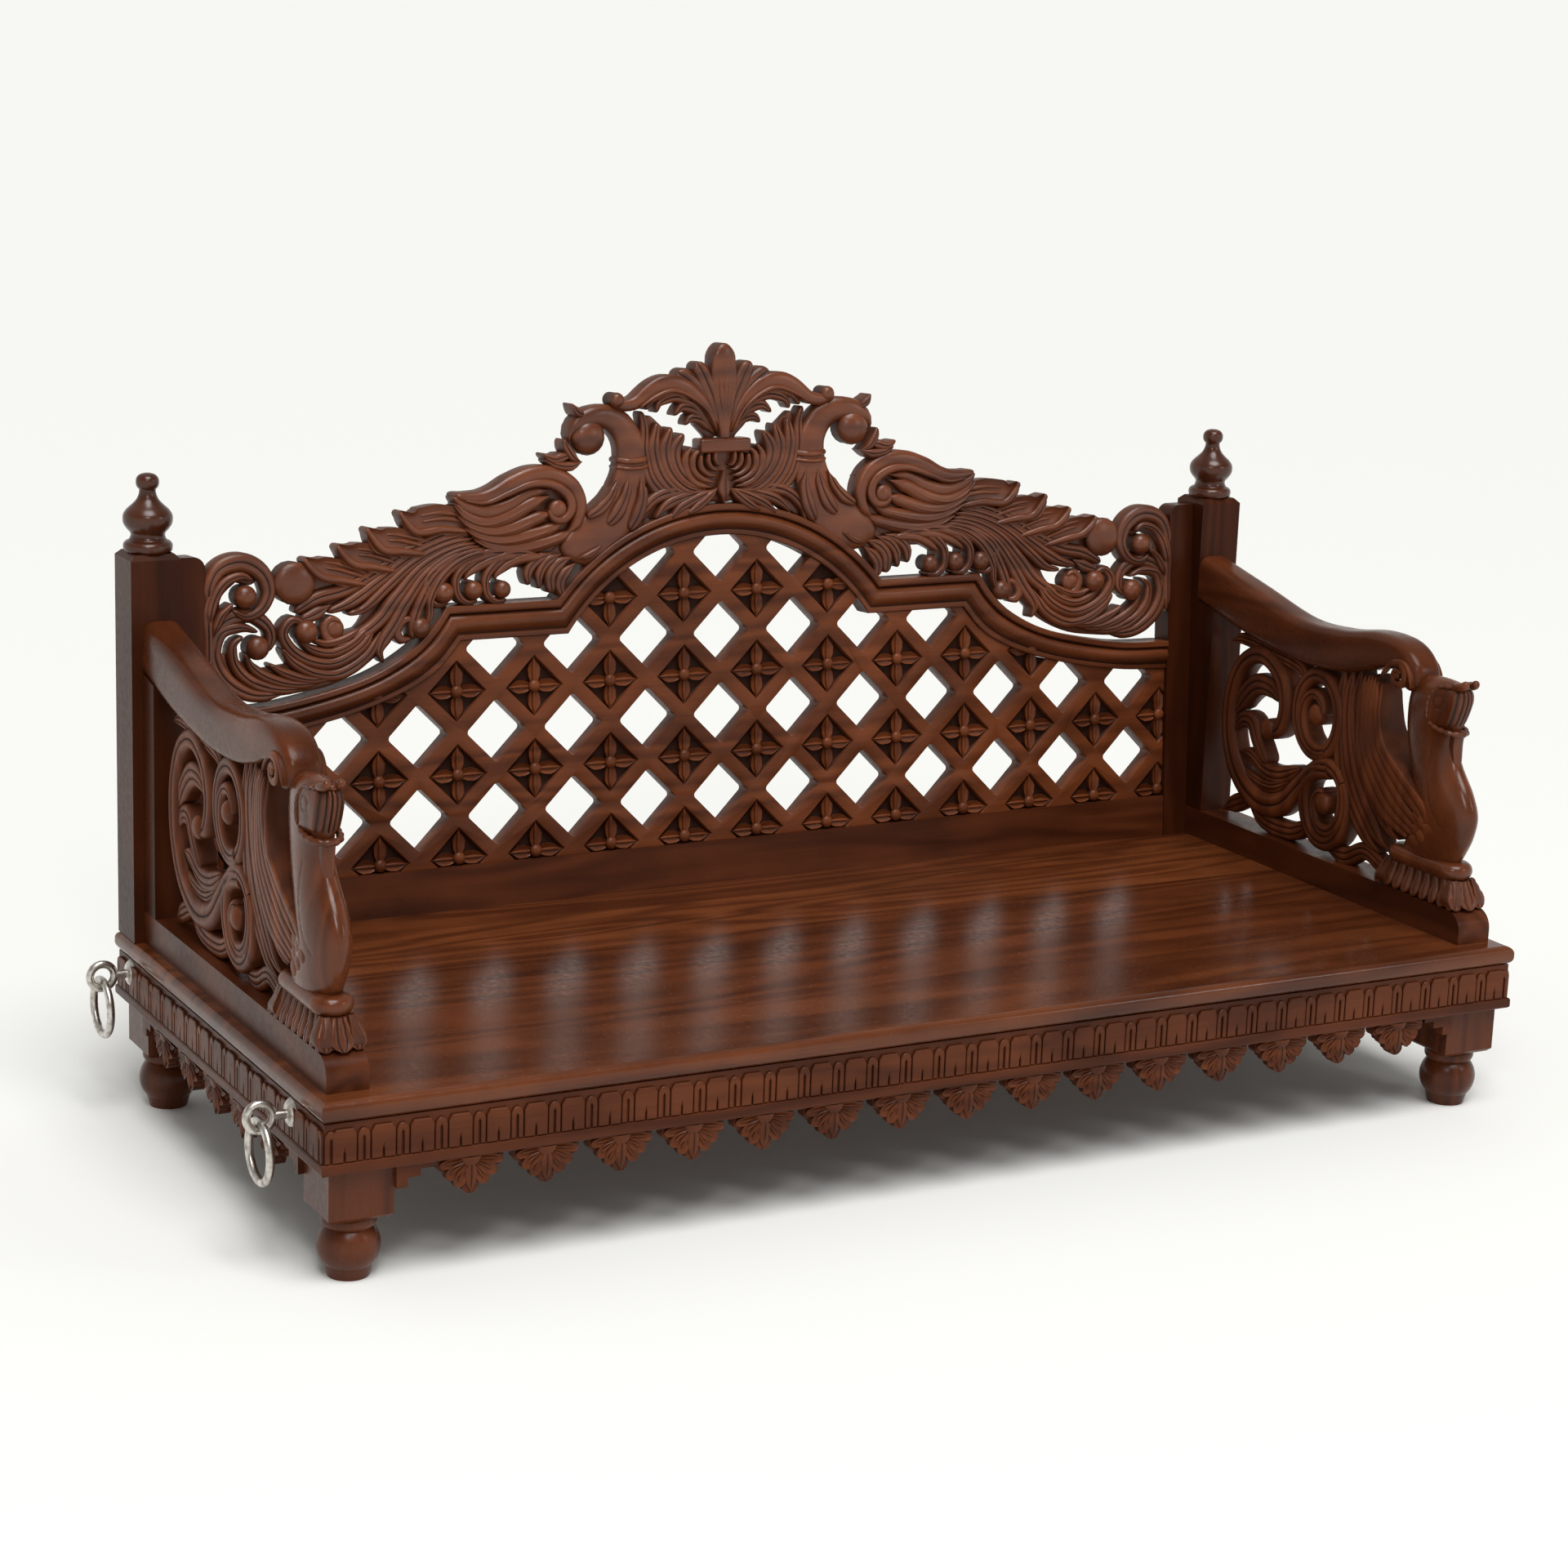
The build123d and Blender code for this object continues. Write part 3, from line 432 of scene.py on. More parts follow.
def raised_panel(outline, height, chamfer):
    """Flat panel with a chamfered face, that stands off a board."""
    work = bmesh.new()
    hollow = hollow_layer(work)
    base = work.faces.new([work.verts.new((x, y, -1)) for x, y in outline])
    # Hollow values paint shade on the walls: darkest at the foot, fading to none on the chamfered
    # face
    for vert in base.verts:
        vert[hollow] = 1.0
    raised = bmesh.ops.extrude_face_region(work, geom=[base])["geom"]
    face = [item for item in raised if isinstance(item, bmesh.types.BMFace)]
    for item in raised:
        if isinstance(item, bmesh.types.BMVert):
            item.co.z = height - chamfer
            item[hollow] = 0.25
    bmesh.ops.inset_region(work, faces=face, thickness=chamfer, depth=0, use_even_offset=True)
    for vert in face[0].verts:
        vert.co.z = height
        vert[hollow] = 0.0
    return stored(work)


def repeated(work, shape, places):
    """Add a copy of a small shape to the work at each of the places."""
    for matrix in places:
        placed = shape.copy()
        placed.transform(matrix)
        work.from_mesh(placed)
        bpy.data.meshes.remove(placed)


# Outlines of a block and of a pair of darts, in the plane of the apron
block = raised_panel([(-12.8, 137.4), (-1.0, 137.4), (-0.8, 146), (0, 150), (0.8, 146),
                      (1.0, 137.4), (12.8, 137.4), (12.8, 166.5), (9.2, 172.4), (-9.2, 172.4),
                      (-12.8, 166.5)], 3.5, 0.9)
dart = raised_panel([(-6.6, 137.4), (-1.3, 137.4), (-1.3, 161), (0, 163.5), (1.3, 161),
                     (1.3, 137.4), (6.6, 137.4), (6.6, 164), (5.3, 168), (2.8, 170.6), (0, 171.4),
                     (-2.8, 170.6), (-5.3, 168), (-6.6, 164)], 3.0, 0.8)
flower = bmesh.new()
for way in (-1, 1):
    for turn, length, width in ((-7, 35, 10), (-33, 33, 13.5), (-59, 33, 14)):
        out = (way * cos(radians(turn)), sin(radians(turn)))
        leaf, vein = ([(out[0] * r, 122 + out[1] * r) for r in (start, length * 0.55, end)]
                      for start, end in ((6, length), (10, length - 5)))
        carve_band(flower, leaf, (4, width * 0.9, width, width * 0.8), top=(0.8, 0.8, 1.5),
                   crown=-2.4, foot=-6, ends=("flat", "round"), step=7)
        carve_band(flower, vein, (2, 3, 2.5), top=1.4, crown=1.4, foot=-6, ends=("flat", "point"),
                   step=8)
carve_band(flower, ((0, 120), (0, 104), (0, 84.5)), (8, 15, 16, 9), top=1.0, crown=2.6, flutes=2,
           groove=-0.3, foot=-6, ends=("flat", "point"), step=6)
heart_boss = bmesh.ops.create_uvsphere(flower, u_segments=18, v_segments=8, radius=12.5)["verts"]
for vert in heart_boss:
    vert.co = (vert.co.x, min(0, vert.co.y) + 123.9, vert.co.z * 0.42)
flower = stored(flower)

carved_pale = (0.150, 0.0400, 0.0130)
carved_dark = (0.082, 0.0202, 0.0064)
frieze_woods = {grain: stained_wood(f"frieze_wood_{grain}", grain, (0.105, 0.0275, 0.0088),
                                    (0.058, 0.0142, 0.0045), 0.33, gloss=0.14, carved=True)
                for grain in ("x", "y")}
pendant_pitch = 84.0
half_dart = 6.6
for side, turn, half, face_out, count, pendant_half, grain in (
    ("front", 0, 746, 326, 36, 7, "x"),
    ("right", 90, 326, 746, 16, 2, "y"),
    ("left", 270, 326, 746, 16, 2, "y"),
):
    on_apron = (Matrix.Scale(0.001, 4) @ Matrix.Rotation(radians(turn), 4, "Z")
                @ Matrix(((1, 0, 0, 0), (0, 0, -1, -face_out), (0, 1, 0, 0), (0, 0, 0, 1))))
    frieze = bmesh.new()
    pitch = 2 * half / count
    blocks_at = [-half + (i + 0.5) * pitch for i in range(count)]
    darts_at = [min(max(-half + i * pitch, -half + half_dart), half - half_dart)
                for i in range(count + 1)]
    repeated(frieze, block, [Matrix.Translation((at, 0, 0)) for at in blocks_at])
    repeated(frieze, dart, [Matrix.Translation((at, 0, 0)) for at in darts_at])
    finished_piece(f"frieze_{side}", frieze, on_apron, frieze_woods[grain], "frame", crease=25)
    pendants = bmesh.new()
    repeated(pendants, flower, [Matrix.Translation((i * pendant_pitch, 0, -2))
                                for i in range(-pendant_half, pendant_half + 1)])
    finished_piece(f"pendant_flowers_{side}", pendants, on_apron, frieze_woods[grain], "frame",
                   crease=38)
for shape in (block, dart, flower):
    bpy.data.meshes.remove(shape)

# ---------------------------------------------------------------- lattice
# One board of sheesham sawn through with diamond holes, eased round their front edges. A
# four-petalled flower with a turned button is cut into the ground between the holes.

lean = radians(4.0)
back_foot, deck_top = 269, 200
on_back = Matrix.Scale(0.001, 4) @ Matrix(((1, 0, 0, 0), (0, sin(lean), -cos(lean), back_foot),
                                           (0, cos(lean), sin(lean), deck_top), (0, 0, 0, 1)))
lattice_wood = stained_wood("lattice_wood", "x", (0.150, 0.0395, 0.0118), (0.078, 0.0190, 0.0056),
                            0.32, gloss=0.18, carved=True, offset=(0.9, 0.1, 0.3))
flower_gap = 99.4
flower_low = 61.0
# Flowers on each side of the middle, row by row from the bottom rail
flower_places = [(way * (i + 0.5) * flower_gap, flower_low + row * flower_gap, row, i)
                 for row, reach in enumerate((7, 7, 5, 2)) for i in range(reach) for way in (-1, 1)]

pockets = bmesh.new()
for x, y, _, _ in flower_places:
    pocket = bmesh.ops.create_cone(pockets, cap_ends=True, segments=4, radius1=33.5, radius2=38,
                                   depth=8.5)["verts"]
    bmesh.ops.translate(pockets, verts=pocket, vec=(x, y, -3.25))
bmesh.ops.transform(pockets, matrix=on_back, verts=pockets.verts)
bmesh.ops.recalc_face_normals(pockets, faces=pockets.faces)
pocket_cutter = stand("pockets", stored(pockets, "pockets"))

ground = bmesh.new()
ground.from_mesh(nodes["lattice_panel"].data)
bmesh.ops.remove_doubles(ground, verts=ground.verts, dist=1e-6)
bmesh.ops.dissolve_limit(ground, angle_limit=radians(1), verts=ground.verts, edges=ground.edges)
ground_board = stand("lattice_ground", stored(ground, "lattice_ground"))
cut = ground_board.modifiers.new("pockets", "BOOLEAN")
cut.operation = "DIFFERENCE"
cut.solver = "EXACT"
cut.object = pocket_cutter
ease = ground_board.modifiers.new("eased_edges", "BEVEL")
ease.width = 0.0022
ease.segments = 2
ease.limit_method = "ANGLE"
ease.angle_limit = radians(35)
settled = bpy.context.evaluated_depsgraph_get()
lattice = bmesh.new()
lattice.from_mesh(bpy.data.meshes.new_from_object(ground_board.evaluated_get(settled)))
bpy.data.objects.remove(ground_board)
bpy.data.objects.remove(pocket_cutter)
bmesh.ops.transform(lattice, matrix=on_back.inverted(), verts=lattice.verts)
pocket_depth = 7
pocket_floor = -9
shade = hollow_layer(lattice)
for vert in lattice.verts:
    cut_here = vert.co.z > pocket_floor
    vert[shade] = min(1.0, max(0.0, -vert.co.z / pocket_depth)) if cut_here else 0.3

petal = bmesh.new()
carve_band(petal, ((3, 0), (13, 0), (25, 0), (35.5, 0)), (8, 15, 16, 6),
           top=(-4.5, -4.0, -3.8, -3.0), crown=-2.6, foot=-9, ends=("flat", "point"), step=5)
carve_band(petal, ((4, 0), (18, 0), (33, 0)), (3, 4.5, 2.5), top=(-3.4, -2.9, -2.6), crown=2.0,
           foot=-9, ends=("flat", "point"), step=6)
petal = stored(petal)
button = bmesh.new()
carve_boss(button, (0, 0), 7.6, top=-1.5, foot=-9, dome=0.7)
button = stored(button)
petal_reach = 36
inside_stiles = 653
rail_turn, arch_turn = 3, 1
cropped_by_arch = ((2, 4), (3, 1))
for x, y, row, i in flower_places:
    turns = [turn for turn in range(4)
             if abs(x + petal_reach * cos(turn * pi / 2)) <= inside_stiles
             and not (turn == rail_turn and row == 0)
             and not (turn == arch_turn and (row, i) in cropped_by_arch)]
    at = Matrix.Translation((x, y, 0))
    repeated(lattice, petal, [at @ Matrix.Rotation(turn * pi / 2, 4, "Z") for turn in turns])
    repeated(lattice, button, [at])
bpy.data.meshes.remove(petal)
bpy.data.meshes.remove(button)
finished_piece("lattice_carving", lattice, on_back, lattice_wood, "lattice", "lattice_panel",
               crease=32)

# ---------------------------------------------------------------- arch moulding
# A broad moulding bent round the arch and the steps of the back, with a fillet, a round
# and a small inner bead worked along it with a scratch stock.

moulding_wood = stained_wood("moulding_wood", "x", (0.128, 0.0335, 0.0102), (0.072, 0.0174, 0.0053),
                             0.30, gloss=0.24, carved=True, offset=(1.3, 0.8, 0.1))


def moulding_line(radius, step_height, step_reach, slope, count=26, step_count=6):
    """Right half of one edge of the moulding, from the crown to the stile."""
    corner = sqrt(radius**2 - (step_height - arch_centre) ** 2)
    sweep = asin(corner / radius)
    line = [(radius * sin(sweep * i / count), arch_centre + radius * cos(sweep * i / count))
            for i in range(count)]
    line += [(corner + (step_reach - corner) * i / step_count, step_height)
             for i in range(step_count)]
    run_out = even_stations([(step_reach, step_height), *slope], count)
    return line + [tuple(spot) for spot, _ in run_out]


arch_centre = 180
outer_line = moulding_line(286, 362, 363, ((380, 338), (412, 310), (470, 283), (570, 262),
                                           (653, 258)))
inner_line = moulding_line(248, 320, 343, ((371, 289), (413, 265), (488, 241), (580, 225),
                                           (653, 221)))
# Share of the way from the inner to the outer edge, height off the board, depth of shade
moulding_section = (
    (0.00, -26, 0.7), (0.00, -2, 0.5), (0.00, 1.5, 0.2), (0.03, 3.0, 0.0), (0.12, 3.6, 0.0),
    (0.16, 3.2, 0.1), (0.19, 1.6, 0.8), (0.23, 2.2, 0.5), (0.27, 4.6, 0.0), (0.36, 7.4, 0.0),
    (0.47, 8.6, 0.0), (0.58, 8.2, 0.0), (0.67, 6.2, 0.0), (0.72, 4.2, 0.2), (0.745, 2.4, 0.9),
    (0.77, 3.6, 0.6), (0.79, 7.6, 0.0), (0.83, 8.6, 0.0), (0.96, 8.6, 0.0), (0.99, 7.8, 0.0),
    (1.00, 5.5, 0.0), (1.00, -10, 0.4), (1.00, -26, 0.7),
)
half_rows = len(outer_line) - 1


def moulding_spot(row, column):
    """Place on the moulding, whose left half mirrors the right one."""
    share, height, depth = moulding_section[column]
    row -= half_rows
    spot = Vector(inner_line[abs(row)]).lerp(Vector(outer_line[abs(row)]), share)
    return (spot.x if row >= 0 else -spot.x, spot.y, height), depth


moulding = bmesh.new()
closed_skin(moulding, 2 * half_rows, len(moulding_section), moulding_spot)
finished_piece("arch_moulding_run", moulding, on_back, moulding_wood, "frame", "arch_moulding",
               crease=34)

# ---------------------------------------------------------------- crest
# Three boards of sheesham sawn to a pierced outline and carved from the front: a palmette
# over acanthus in the middle, and on each side a peacock with a folded wing, a long
# feathered tail and scrolls that run out to the stiles. The back of the boards is flat.

across_seat = Matrix.Scale(-1, 4, (1, 0, 0))
carved_wood = stained_wood("carved_wood", "x", carved_pale, carved_dark, 0.31, gloss=0.42,
                           carved=True, offset=(0.4, 0.2, 0.9))

# Under-layer of the bird and the tail, cut back below the leaves
crest = bmesh.new()
carve_bands(crest, (
    ((188, 465, 225, 467, 280, 460, 335, 462), (56, 90, 74, 40), -4),
    ((185, 428, 250, 424, 320, 432, 390, 420, 450, 404, 505, 388, 545, 378),
     (40, 44, 60, 84, 76, 56, 30), -5),
    ((400, 405, 430, 365, 455, 330, 500, 300, 560, 288, 605, 290, 636, 320),
     (56, 50, 44, 40, 36, 34, 24), -5),
    ((650, 300, 648, 350, 644, 392, 618, 416, 590, 404), (14, 20, 26, 30, 22), -5),
    ((205, 415, 225, 400, 236, 378), (32, 26, 14), -3),
), flutes=1, crown=1.5, ends=("flat", "round"), step=9)

# Peacock: the neck curls over into a round head, with a ringed collar and a cuff of leaves
carve_band(crest, ((214, 419), (178, 430), (144, 456), (126, 490), (121, 520)),
           (36, 58, 60, 50, 40), top=1.0, crown=8, ends=("round", "flat"), step=7)
carve_band(crest, ((121, 519), (124, 545), (138, 566), (160, 576), (184, 573), (201, 560),
                   (203, 545)), (38, 37, 34, 30, 25, 18, 9), top=(1, 1, 1.5, 2.5, 4, 4, 3), crown=8,
           ends=("flat", "point"), step=5)
carve_boss(crest, (179, 552), 22, top=2.5, dome=0.62)
for high, wide_here in ((523, 7.5), (514.5, 5)):
    carve_band(crest, ((98, high + 1), (121, high - 1.5), (143, high + 0.5)), wide_here,
               top=(2, 9.5, 9.5, 2), crown=3.5, step=3, ends=("round", "round"))
carve_bands(crest, (
    # ear, ring behind the bill, bill and the leaf that it holds against the wing
    ((183, 577, 194, 582, 202, 592), (15, 11, 4)),
    ((189, 523, 200, 529, 209, 542, 211, 551), (9, 11, 11, 6)),
    ((200, 533, 214, 530, 226, 528, 238, 534), (17, 14, 11, 5)),
    ((188, 524, 204, 519, 221, 521, 235, 527), (10, 12, 11, 5)),
    # cuff leaves that lie over the root of the neck
    ((112, 502, 110, 480, 116, 458, 126, 440), (6, 14, 18, 14)),
    ((128, 505, 132, 484, 143, 462, 156, 447), (6, 14, 19, 15)),
    ((143, 500, 152, 482, 166, 467, 182, 458), (6, 12, 15, 11)),
    ((196, 410, 180, 414, 164, 424), (5, 9, 4)),
), top=(8.5, 10.5, 10.5, 8), crown=3.4, groove=1.6)

# Folded wing: a broad rolled rim that ends in a volute, over four smooth flights
for order, (spine, widths) in enumerate((
    (((196, 446), (214, 436), (244, 428), (278, 425), (306, 431), (324, 441)),
     (8, 15, 17, 17, 15, 7)),
    (((206, 456), (226, 447), (258, 439), (290, 436), (318, 443), (337, 455)),
     (7, 15, 18, 18, 17, 7)),
    (((222, 466), (248, 459), (276, 449), (304, 447), (330, 456), (346, 470)),
     (7, 16, 19, 18, 16, 7)),
    (((228, 486), (256, 476), (284, 463), (312, 458), (336, 467), (350, 482)),
     (7, 17, 20, 19, 16, 7)),
)):
    carve_band(crest, spine, widths, top=2.5 + 1.3 * order, crown=6.0)
    carve_band(crest, [(x + 3, y - 2.5) for x, y in spine[1:]], (3, 4.5, 4.5, 2.5),
               top=7.0 + 1.3 * order, crown=1.8, ends=("point", "point"))
carve_band(crest, ((228, 492), (256, 489), (284, 476), (312, 470), (338, 477), (353, 489)),
           (6, 12, 15, 17, 15, 6), top=(6, 7, 8, 8.5, 8.5, 8), crown=4.5)
carve_band(crest, ((352, 491), (332, 487), (306, 489), (278, 502), (250, 511), (222, 509),
                   (199, 494), (190, 472), (196, 450), (212, 436)),
           (9, 15, 19, 21, 21, 20, 19, 17, 14, 6), top=(7, 7.5, 8, 8, 7.5, 7, 6, 5, 3), crown=6.5,
           ends=("round", "point"))
carve_band(crest, ((342, 485), (314, 481), (286, 490), (256, 500), (230, 499), (209, 487),
                   (203, 470), (212, 457), (226, 459), (231, 470)),
           (3, 5, 7, 8, 9, 10, 11, 11, 10, 8), top=(11, 11.5, 12, 12, 11.5, 11, 10, 9), crown=3.2)
carve_boss(crest, (221, 469), 11.5, top=9.0, dome=0.5)

# Tail: curled scales along the top edge, long feathers that sweep down from under the wing
for order, (spine, widths) in enumerate((
    (((462, 398), (496, 410), (520, 415), (536, 427)), (18, 30, 29, 10)),
    (((424, 412), (456, 424), (480, 428), (496, 440)), (20, 32, 31, 10)),
    (((386, 430), (420, 440), (444, 443), (460, 458)), (20, 33, 32, 10)),
    (((332, 456), (370, 464), (402, 462), (419, 475)), (26, 35, 34, 10)),
)):
    carve_band(crest, spine, widths, top=(2, 4, 5.5, 6), crown=-4.0, ends=("flat", "round"))
    low = [(x - 4, y - wide_here * 0.34) for (x, y), wide_here in zip(spine[:3], widths)]
    tip = spine[3]
    carve_band(crest, [*low, (tip[0] - 4, tip[1] - 8), tip], (5, 8, 9.5, 9, 6),
               top=(4, 7, 9, 9.5, 8), crown=3.5)
    for shift in (2, 9):
        carve_band(crest, [(x - 10 + shift * 0.4, y + shift - 2) for x, y in spine[:3]], (3, 6, 3),
                   top=(3, 5, 5.5), crown=2.6, ends=("point", "point"))
carve_bands(crest, (
    # to the scrolls of the corner
    ((334, 452, 372, 443, 410, 428, 448, 406, 486, 388, 520, 380, 548, 366),
     (8, 13, 14, 15, 17, 18, 12)),
    ((330, 446, 370, 436, 408, 420, 444, 396, 478, 374, 508, 364), (8, 13, 14, 15, 17, 9)),
    ((326, 440, 366, 431, 402, 414, 434, 389, 462, 366, 484, 360), (8, 12, 13, 14, 14, 7)),
    # to the long curl and the hanging leaf
    ((322, 435, 362, 425, 396, 406, 424, 376, 446, 350, 474, 333, 494, 333),
     (8, 12, 14, 16, 19, 17, 10)),
    ((318, 431, 354, 422, 386, 402, 410, 372, 428, 344, 446, 318, 442, 301),
     (8, 12, 13, 15, 18, 18, 6)),
    # to the scroll on the foot of the step
    ((312, 428, 348, 418, 376, 398, 394, 370, 404, 344, 404, 326), (8, 12, 14, 15, 15, 11)),
    ((306, 425, 340, 416, 366, 398, 382, 372, 384, 352, 392, 336), (7, 11, 13, 13, 10, 6)),
), top=2.0, rise=0.7, crown=4.6, groove=2.0)
carve_band(crest, ((404, 328), (418, 326), (424, 336), (416, 348), (402, 350)), (9, 11, 12, 10, 6),
           top=4, crown=4)
carve_boss(crest, (396, 339), 12.5, top=5.5, dome=0.8)
carve_boss(crest, (548, 399), 25, top=4.5, dome=0.34)
carve_boss(crest, (501, 344), 12.5, top=3.0, dome=0.55)
carve_volute(crest, (548, 399), 19, 15, -150, 110, (5, 8, 8, 4), top=7, crown=3,
             ends=("point", "point"))
carve_band(crest, ((474, 330), (492, 326), (508, 332), (514, 346), (505, 356), (493, 352)),
           (8, 12, 11, 10, 9, 5), top=5.5, crown=3.6)
carve_band(crest, ((504, 372), (524, 362), (541, 357)), (10, 16, 11), top=4.5, crown=3.6, flutes=2)

# Plumes that curl down on the step of the moulding
for root, foot, ball in (((300, 425), (366, 378), 12.5), ((268, 420), (329, 379), 11.5),
                         ((240, 416), (292, 378), 10.5)):
    x, y = foot
    carve_band(crest, (root, ((root[0] + x) / 2 + 14, y + 41), (x + 17, y + 21), (x + 20, y - 2),
                       (x + 8, y - 14), (x - 6, y - 12)), (8, 15, 15, 12, 10, 6),
               top=(3, 5, 5.5, 5, 4.5), crown=4.5, flutes=2, groove=1.7)
    carve_band(crest, ((root[0] - 8, root[1] - 2), ((root[0] + x) / 2 + 4, y + 34), (x + 6, y + 19),
                       (x + 6, y + 8)), (6, 12, 11, 5), top=(4, 6, 5, 4), crown=4,
               ends=("point", "point"))
    carve_boss(crest, (x - 1, y), ball, top=4.5, dome=0.85)
carve_bands(crest, (
    ((226, 418, 246, 410, 258, 397, 258, 381), (8, 14, 14, 7)),
    ((214, 416, 232, 408, 243, 394, 244, 376), (8, 14, 13, 6)),
    ((200, 412, 218, 404, 229, 390, 228, 370), (10, 16, 16, 12)),
    ((196, 404, 210, 393, 217, 380, 214, 366), (10, 15, 15, 10)),
), top=4.5, crown=4, groove=1.6)

# Leaves and scrolls that fill the lower corner
carve_bands(crest, (
    ((650, 306, 645, 344, 628, 361, 600, 365, 579, 350, 577, 332, 588, 321),
     (15, 19, 20, 19, 17, 14, 8)),
    ((560, 273, 600, 274, 630, 292, 644, 320, 636, 346, 612, 352, 592, 346),
     (10, 16, 19, 20, 18, 14, 6)),
    ((536, 277, 572, 279, 602, 290, 620, 310, 622, 332, 610, 342), (8, 13, 16, 15, 13, 6)),
    ((516, 283, 550, 283, 580, 292, 600, 306, 608, 322), (8, 12, 14, 13, 6)),
    ((498, 290, 530, 287, 560, 296, 580, 308), (8, 12, 13, 6)),
    ((444, 338, 462, 310, 494, 292, 524, 294, 550, 308, 565, 325), (8, 15, 16, 15, 14, 7)),
    ((450, 344, 470, 320, 500, 305, 528, 308, 552, 322, 563, 342, 552, 357, 536, 352),
     (8, 14, 15, 15, 15, 15, 13, 7)),
    ((458, 346, 478, 327, 504, 317, 528, 322, 544, 334), (7, 12, 13, 12, 6)),
    ((470, 343, 490, 332, 512, 328, 529, 334), (6, 10, 10, 5)),
), top=1.5, rise=0.6, crown=4.6, groove=1.8)
carve_boss(crest, (594, 328), 14, top=5.5, dome=0.8)
carve_boss(crest, (536, 343), 14, top=6.5, dome=0.8)

# Upper scroll of the corner, against the stile
carve_bands(crest, (
    ((652, 296, 651, 340, 650, 380, 640, 398), (9, 14, 16, 8)),
    ((651, 372, 648, 402, 634, 421, 608, 426, 586, 413, 578, 391, 588, 371, 606, 364, 622, 372),
     (11, 16, 20, 22, 22, 20, 16, 13, 7)),
    ((652, 352, 644, 384, 630, 404, 610, 411, 598, 404), (8, 13, 14, 12, 6)),
    ((648, 342, 636, 366, 622, 380), (7, 12, 6)),
), top=2.5, rise=0.8, crown=5.0, groove=1.8)
carve_boss(crest, (607, 387), 13.5, top=5.5, dome=0.8)
finished_piece("crest_carving_right", crest.copy(), on_back, carved_wood, "carving", "crest_right")
bmesh.ops.transform(crest, matrix=across_seat, verts=crest.verts)
finished_piece("crest_carving_left", crest, on_back, carved_wood, "carving", "crest_left")

# Middle board: palmette and S-scrolls above the collar, a shell and acanthus below it
middle = bmesh.new()
carve_bands(middle, (
    ((4, 548, 20, 580, 40, 600, 62, 608), (30, 46, 44, 20), -4),
    ((6, 500, 40, 498, 72, 520, 88, 552, 96, 574), (44, 42, 50, 34, 12), -4),
    ((4, 532, 12, 512, 4, 484), (34, 52, 40), 1),
    ((0, 488, 50, 480, 92, 465, 110, 447), (40, 30, 24, 10), -4),
), flutes=1, crown=1.5, ends=("flat", "round"), step=9)
carve_bands(middle, (
    # leaves that turn down below the S-scroll
    ((10, 550, 26, 566, 42, 570, 51, 562), (8, 13, 14, 6), 2.5),
    ((11, 552, 30, 576, 52, 584, 66, 574), (8, 14, 16, 6), 3.5),
    ((14, 556, 36, 586, 62, 596, 84, 590, 90, 578), (8, 14, 16, 14, 6), 4.5),
    ((40, 590, 66, 602, 92, 596, 104, 582), (7, 12, 12, 5), 5.0),
    # S-scroll out to the head of the bird
    ((9, 552, 22, 580, 44, 602, 70, 612, 94, 606, 116, 591, 136, 588, 149, 596),
     (8, 13, 17, 21, 22, 19, 15, 9), 6.5, 1),
    ((10, 553, 24, 578, 46, 596, 70, 604, 94, 597, 114, 585), (3, 5, 6, 7, 6, 3), 10.0, 1),
    # lobes of the palmette
    ((7, 552, 20, 586, 42, 611, 62, 625), (8, 17, 24, 22), 5.0),
    ((5, 552, 13, 588, 25, 616, 36, 636), (8, 17, 23, 19), 6.5),
    # acanthus that stands beside the collar
    ((30, 470, 66, 474, 94, 496, 104, 530, 104, 560, 109, 580), (8, 16, 18, 16, 14, 8), 2.0),
    ((24, 476, 58, 480, 82, 502, 92, 534, 88, 566), (8, 17, 20, 19, 9), 3.5),
    ((20, 482, 48, 486, 70, 506, 78, 532, 70, 560), (8, 16, 19, 19, 9), 4.8),
    ((18, 488, 42, 492, 60, 508, 66, 530, 54, 552), (8, 14, 17, 19, 10), 6.0),
    # shell under the collar
    ((16, 486, 38, 492, 50, 506, 52, 524, 44, 536), (6, 9, 10, 10, 5), 7.0, 1),
    ((12, 492, 30, 497, 42, 508, 42, 524, 34, 532), (6, 8, 9, 9, 5), 8.0, 1),
    ((9, 500, 22, 502, 32, 511, 32, 526), (5, 7, 8, 5), 8.5, 1),
    ((6, 508, 15, 508, 22, 516, 22, 528), (4, 6, 7, 4), 9.0, 1),
    ((4, 514, 9, 513, 13, 519, 13, 530), (3, 5, 6, 4), 9.0, 1),
    # leaves that spread over the arch
    ((14, 480, 50, 484, 86, 478, 108, 460, 114, 440), (8, 15, 17, 14, 6), 3.5),
    ((12, 482, 44, 478, 74, 468, 92, 452), (8, 14, 15, 6), 4.5),
    ((10, 484, 36, 474, 58, 463, 72, 451), (8, 13, 14, 6), 5.5),
    ((7, 486, 24, 472, 38, 462, 50, 456), (8, 12, 13, 6), 6.5),
), crown=4.6, groove=1.9)
carve_boss(middle, (142, 594), 9.5, top=6.5, dome=0.8)
add_mirrored(middle, across_seat)
carve_band(middle, ((0, 546), (0, 580), (0, 606), (0, 626), (0, 641), (0, 651), (0, 658.5)),
           (12, 19, 28, 34, 35, 31, 24), top=8.0, crown=5.5, ends=("flat", "round"), step=3)
for side in (-1, 0, 1):
    carve_band(middle, ((side * 2, 566), (side * 6, 606), (side * 9, 640 if side == 0 else 626)),
               (3, 7, 3), top=(11, 12.5, 11), crown=2.4, ends=("point", "point"))
carve_band(middle, ((0, 506), (0, 486), (0, 465)), (6, 17, 7), top=7.5, crown=4.5, flutes=2,
           groove=-1.0, ends=("flat", "point"))
